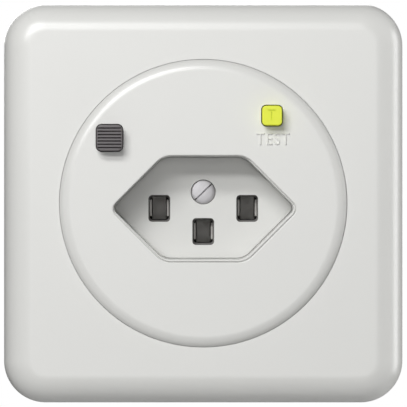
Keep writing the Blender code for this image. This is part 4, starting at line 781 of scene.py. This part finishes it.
# Test button: a yellow square button with softly rounded edges and one thin engraved letter. Its
# round stem reaches back through the housing to the clip of the test circuit.
test_low, test_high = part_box("test_button")
test_front = test_low.y
test_edge = 0.3 * MM
test_cap_back = -2.0 * MM
test_flange_front = -2.7 * MM
test_flange_back = -1.5 * MM
test_stem_radius = 1.3 * MM
letter_depth = 0.42 * MM
letter_line = 0.22 * MM
letter_half = 0.83 * MM
bar_z = 20.05 * MM
stem_low_z = 17.95 * MM
letter_x = 14.8 * MM
test = depth_bar(
    "test_cap",
    test_x,
    test_z,
    test_width,
    test_width,
    test_front,
    test_cap_back,
    test_corner,
    8,
)
round_edges(test, at_depth(test_front), test_edge, 5)
letter_bar = cube(
    "letter_bar",
    (letter_x - letter_half, test_front - MM, bar_z - letter_line / 2),
    (letter_x + letter_half, test_front + letter_depth, bar_z + letter_line / 2),
)
letter_stem = cube(
    "letter_stem",
    (letter_x - letter_line / 2, test_front - MM, stem_low_z),
    (letter_x + letter_line / 2, test_front + letter_depth, bar_z),
)
combine(test, letter_bar, "DIFFERENCE")
combine(test, letter_stem, "DIFFERENCE")
test_flange = cube(
    "flange",
    (test_low.x, test_flange_front, test_low.z),
    (test_high.x, test_flange_back, test_high.z),
)
combine(test, test_flange, "UNION")
stem = cylinder("stem", (test_x, test_z), test_stem_radius, test_cap_back, test_high.y, 48)
combine(test, stem, "UNION")
smooth(test)
yellow_button = moulded_plastic(
    "yellow_button_plastic", (0.85, 0.92, 0.05), (0.82, 0.89, 0.045), 0.5, 3000, 0.06
)
dress(test, yellow_button, "test_system", ["test_button"])


# Frame and housing: the steel frame behind the cover and the housing's screws are zinc plated. The
# housing's two halves are plain mouldings, light grey in front and dark grey at the rear.


def finish_nodes(surface, *names):
    """Gives CAD nodes whose shape is right a better material."""
    for name in names:
        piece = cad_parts[name]
        piece.data.materials.clear()
        piece.data.materials.append(surface)


corner_names = ("upper_left", "upper_right", "lower_left", "lower_right")
zinc_steel = plated_metal(
    "zinc_plated_steel", (0.62, 0.62, 0.6), (0.42, 0.43, 0.42), 0.38, (300, 300, 2400)
)
light_housing = moulded_plastic(
    "light_grey_moulding", (0.52, 0.52, 0.5), (0.48, 0.48, 0.46), 0.45, 1800, 0.25
)
dark_housing = moulded_plastic(
    "dark_grey_moulding", (0.15, 0.15, 0.16), (0.13, 0.13, 0.14), 0.5, 1800, 0.3
)
finish_nodes(zinc_steel, "support_frame")
finish_nodes(zinc_steel, *[f"housing_screw_{name}" for name in corner_names])
finish_nodes(light_housing, "front_housing", "chassis_plate")
finish_nodes(dark_housing, "rear_housing", "trip_relay", "contact_carriage")


# Housing seal: a flat rubber ring that fills the joint between the housing's two halves and is held
# by the four corner screws.
front_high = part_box("front_housing")[1]
rear_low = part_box("rear_housing")[0]
seal_inset = 0.3 * MM
seal_width = 0.5 * MM
seal_corner = 2.0 * MM
opening_corner = 1.5 * MM
seal_half = front_high.x - seal_inset
opening_half = seal_half - seal_width
size = (2 * seal_half, 2 * seal_half)
seal = depth_bar("housing_seal", 0, 0, *size, front_high.y, rear_low.y, seal_corner)
size = (2 * opening_half, 2 * opening_half)
opening = depth_bar(
    "seal_opening", 0, 0, *size, front_high.y - MM, rear_low.y + MM, opening_corner
)
combine(seal, opening, "DIFFERENCE")
smooth(seal)
seal_rubber = moulded_plastic(
    "seal_rubber", (0.035, 0.035, 0.037), (0.028, 0.028, 0.03), 0.7, 1400, 0.3
)
dress(seal, seal_rubber, "housing")


# Pin collars: dark grey insulating rings behind the pin holes. They stand against the back of the
# cup and guide each pin into its contact.
collar_width = 6.4 * MM
collar_height = 7.4 * MM
collar_depth = 1.6 * MM
collar_bore_width = 4.1 * MM
collar_bore_height = 5.0 * MM
collar_corner = 1.4 * MM
collar_bore_corner = 0.7 * MM
collar_edge = 0.1 * MM
collar_back = cup_back + collar_depth
collar_plastic = moulded_plastic(
    "dark_insulating_plastic", (0.11, 0.105, 0.1), (0.09, 0.086, 0.082), 0.5, 1800, 0.2
)


def break_edges(piece, width):
    """Takes the sharpness off all the edges of a piece."""
    only(piece)
    edges = piece.modifiers.new("edges", "BEVEL")
    edges.width = width
    edges.segments = 2
    bpy.ops.object.modifier_apply(modifier=edges.name)


contact_sides = ("line", "neutral", "earth")
for side, (x, z) in zip(contact_sides, pin_places):
    z -= pin_hole_drop
    size = (collar_width, collar_height)
    collar = depth_bar(f"{side}_pin_collar", x, z, *size, cup_back, collar_back, collar_corner)
    size = (collar_bore_width, collar_bore_height)
    bore = depth_bar(
        "collar_bore", x, z, *size, cup_back - MM, collar_back + MM, collar_bore_corner
    )
    combine(collar, bore, "DIFFERENCE")
    break_edges(collar, collar_edge)
    smooth(collar)
    dress(collar, collar_plastic, "housing")


# Socket contacts: forks bent from spring bronze and nickel plated. Two leaves stand up from a base,
# close in on the pin, and open again towards the floor of the recess. A tail takes the current off.
contact_metal = 0.45 * MM
leaf_mouth = 1.65 * MM
leaf_throat = 1.45 * MM
leaf_foot = 2.5 * MM
leaf_half_height = 2.5 * MM
leaf_end = 0.3 * MM
jaw_front = 3.4 * MM
jaw_back = 4.8 * MM
base_lap = 0.1 * MM
tail_half = 1.5 * MM
tail_lap = 0.5 * MM
contact_edge = 0.08 * MM


def front_end(piece):
    """The Y of the foremost point."""
    return min(point.co.y for point in piece.data.vertices)


def leaf(side, x, z, lip, foot):
    """One leaf, drawn forward from its foot: taper, straight jaw, and a lip that opens out."""
    throat_front = lip + jaw_front
    throat_back = lip + jaw_back
    inner = x + side * leaf_foot
    low, high = sorted((inner, inner + side * contact_metal))
    piece = cube(
        "leaf",
        (low, foot - MM, z - leaf_half_height),
        (high, foot, z + leaf_half_height),
    )
    steps = (
        (leaf_throat - leaf_foot, throat_back - foot + MM, 1.0),
        (0.0, throat_front - throat_back, 1.0),
        (0.25 * (leaf_mouth - leaf_throat), 0.35 * (lip - throat_front), 1.0),
        (0.35 * (leaf_mouth - leaf_throat), 0.35 * (lip - throat_front), 0.9),
        (0.4 * (leaf_mouth - leaf_throat), 0.3 * (lip - throat_front), 0.78),
    )
    for outwards, forward, height in steps:
        end = front_end(piece) + leaf_end
        pick_faces(piece, lambda centre, normal: normal.y < -0.5 and centre.y < end)
        draw_out((side * outwards, forward, 0), (1, 1, height), (x, 0, z))
        bpy.ops.object.mode_set(mode="OBJECT")
    return piece


def contact_fork(name, x, z, tail_x):
    """Two leaves on a base plate, with the tail that runs up or down to its strip."""
    low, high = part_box(name)
    foot = high.y - contact_metal
    fork = cube(
        name + "_bent",
        (x - leaf_foot - contact_metal, foot - base_lap, z - leaf_half_height),
        (x + leaf_foot + contact_metal, high.y, z + leaf_half_height),
    )
    for side in (-1, 1):
        combine(fork, leaf(side, x, z, low.y, foot), "UNION")
    reach = leaf_half_height - tail_lap
    if high.z - z > z - low.z:
        tail_low, tail_high = z + reach, high.z
    else:
        tail_low, tail_high = low.z, z - reach
    tail = cube(
        "tail",
        (tail_x - tail_half, foot, tail_low),
        (tail_x + tail_half, high.y, tail_high),
    )
    combine(fork, tail, "UNION")
    break_edges(fork, contact_edge)
    smooth(fork)
    return fork


nickel = plated_metal(
    "nickel_plate", (0.47, 0.455, 0.43), (0.38, 0.37, 0.35), 0.5, (900, 2600, 900)
)
tail_places = (
    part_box("line_contact")[1].x - tail_half,
    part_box("neutral_contact")[0].x + tail_half,
    0.0,
)
for side, (x, z), tail_x in zip(contact_sides, pin_places, tail_places):
    node = f"{side}_contact"
    fork = contact_fork(node, x, z, tail_x)
    dress(fork, nickel, "housing", nodes=[node])


# Switch contacts: bridges, strips and the test clip are of bronze, and the rivets on them of
# silver.
contact_bronze = plated_metal(
    "contact_bronze", (0.5, 0.36, 0.2), (0.38, 0.26, 0.14), 0.4, (900, 2600, 900)
)
silver = plated_metal(
    "contact_silver", (0.8, 0.79, 0.77), (0.6, 0.59, 0.58), 0.3, (2000, 2000, 2000)
)
finish_nodes(contact_bronze, "line_bridge", "neutral_bridge", "test_clip")
finish_nodes(contact_bronze, "line_supply_strip", "neutral_supply_strip")
finish_nodes(silver, "line_supply_rivet", "line_load_rivet")
finish_nodes(silver, "neutral_load_rivet", "neutral_supply_rivet")


# Terminals, earth bar and test posts: machined brass, with plated clamping screws.
terminal_brass = plated_metal(
    "terminal_brass", (0.7, 0.52, 0.24), (0.5, 0.36, 0.15), 0.32, (1200, 3000, 1200)
)
finish_nodes(terminal_brass, "earth_strip", "test_post_left", "test_post_right")
for side in contact_sides:
    for end in ("supply", "load"):
        finish_nodes(terminal_brass, f"{end}_{side}_terminal")
        finish_nodes(zinc_steel, f"{end}_{side}_screw")


# Latch, pin and plunger: bright steel. The opening spring behind the contact carriage is of the
# same steel, drawn to wire and wound.
finish_nodes(bright_steel, "latch_lever", "latch_pin", "relay_plunger", "opening_spring")


# Test and latch springs: wound from round steel wire with an even pitch and cut straight at both
# ends. The test button and the latch lever press them together.
spring_wire = 0.5 * MM
wire_sides = 10
steps_per_turn = 24


def wound_spring(name, node, turns, axis):
    """A helix of round wire that fills the node's box, along Y (axis 1) or Z (axis 2)."""
    low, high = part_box(node)
    middle = (low + high) / 2
    length = high[axis] - low[axis]
    coil_radius = (high.x - low.x - spring_wire) / 2
    bpy.ops.object.select_all(action="DESELECT")
    bpy.ops.mesh.primitive_circle_add(
        vertices=wire_sides,
        radius=spring_wire / 2,
        fill_type="NOTHING",
        location=(coil_radius, 0, -(length - spring_wire) / 2),
        rotation=(math.radians(90), 0, 0),
    )
    spring = bpy.context.object
    spring.name = name
    settle(spring)
    winding = spring.modifiers.new("winding", "SCREW")
    winding.angle = math.radians(360)
    winding.iterations = turns
    winding.screw_offset = (length - spring_wire) / turns
    winding.steps = steps_per_turn
    winding.render_steps = steps_per_turn
    bpy.ops.object.modifier_apply(modifier=winding.name)
    bpy.ops.object.mode_set(mode="EDIT")
    bpy.ops.mesh.select_mode(type="EDGE")
    bpy.ops.mesh.select_all(action="DESELECT")
    bpy.ops.mesh.select_non_manifold()
    bpy.ops.mesh.fill()
    bpy.ops.mesh.select_all(action="SELECT")
    bpy.ops.mesh.normals_make_consistent(inside=False)
    bpy.ops.object.mode_set(mode="OBJECT")
    if axis == 1:
        spring.rotation_euler = (math.radians(90), 0, 0)
    spring.location = middle
    settle(spring)
    bpy.ops.object.shade_smooth_by_angle(angle=math.radians(50))
    return spring


test_coil = wound_spring("test_spring_wound", "test_spring", 4, 1)
latch_coil = wound_spring("latch_spring_wound", "latch_spring", 3, 2)
dress(test_coil, bright_steel, "housing", nodes=["test_spring"])
dress(latch_coil, bright_steel, "housing", nodes=["latch_spring"])
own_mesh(test_coil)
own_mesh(latch_coil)


# Fault sensing: a cased ring core with a winding of enamelled copper, and the two insulated leads
# through it.
core_casing = moulded_plastic(
    "core_casing", (0.045, 0.045, 0.05), (0.03, 0.03, 0.033), 0.55, 1500, 0.4
)
copper = plated_metal(
    "enamelled_copper", (0.6, 0.24, 0.1), (0.4, 0.13, 0.05), 0.3, (1500, 1500, 1500)
)
brown_lead = moulded_plastic(
    "brown_insulation", (0.17, 0.065, 0.028), (0.14, 0.05, 0.02), 0.45, 900, 0.1
)
blue_lead = moulded_plastic(
    "blue_insulation", (0.025, 0.11, 0.38), (0.02, 0.09, 0.32), 0.45, 900, 0.1
)
finish_nodes(core_casing, "toroid_core")
finish_nodes(copper, "secondary_winding")
finish_nodes(brown_lead, "line_lead")
finish_nodes(blue_lead, "neutral_lead")


# Circuit board: green lacquered board with the dipped and boxed parts that it carries.
board_green = moulded_plastic(
    "circuit_board_green", (0.02, 0.15, 0.065), (0.015, 0.11, 0.05), 0.35, 1200, 0.2
)
blue_coating = moulded_plastic(
    "blue_dipped_coating", (0.03, 0.1, 0.34), (0.02, 0.07, 0.26), 0.35, 700, 0.3
)
beige_coating = moulded_plastic(
    "beige_coating", (0.56, 0.45, 0.28), (0.5, 0.4, 0.24), 0.5, 900, 0.2
)
finish_nodes(board_green, "circuit_board")
finish_nodes(blue_coating, "surge_varistor")
finish_nodes(beige_coating, "test_resistor", "board_capacitor")
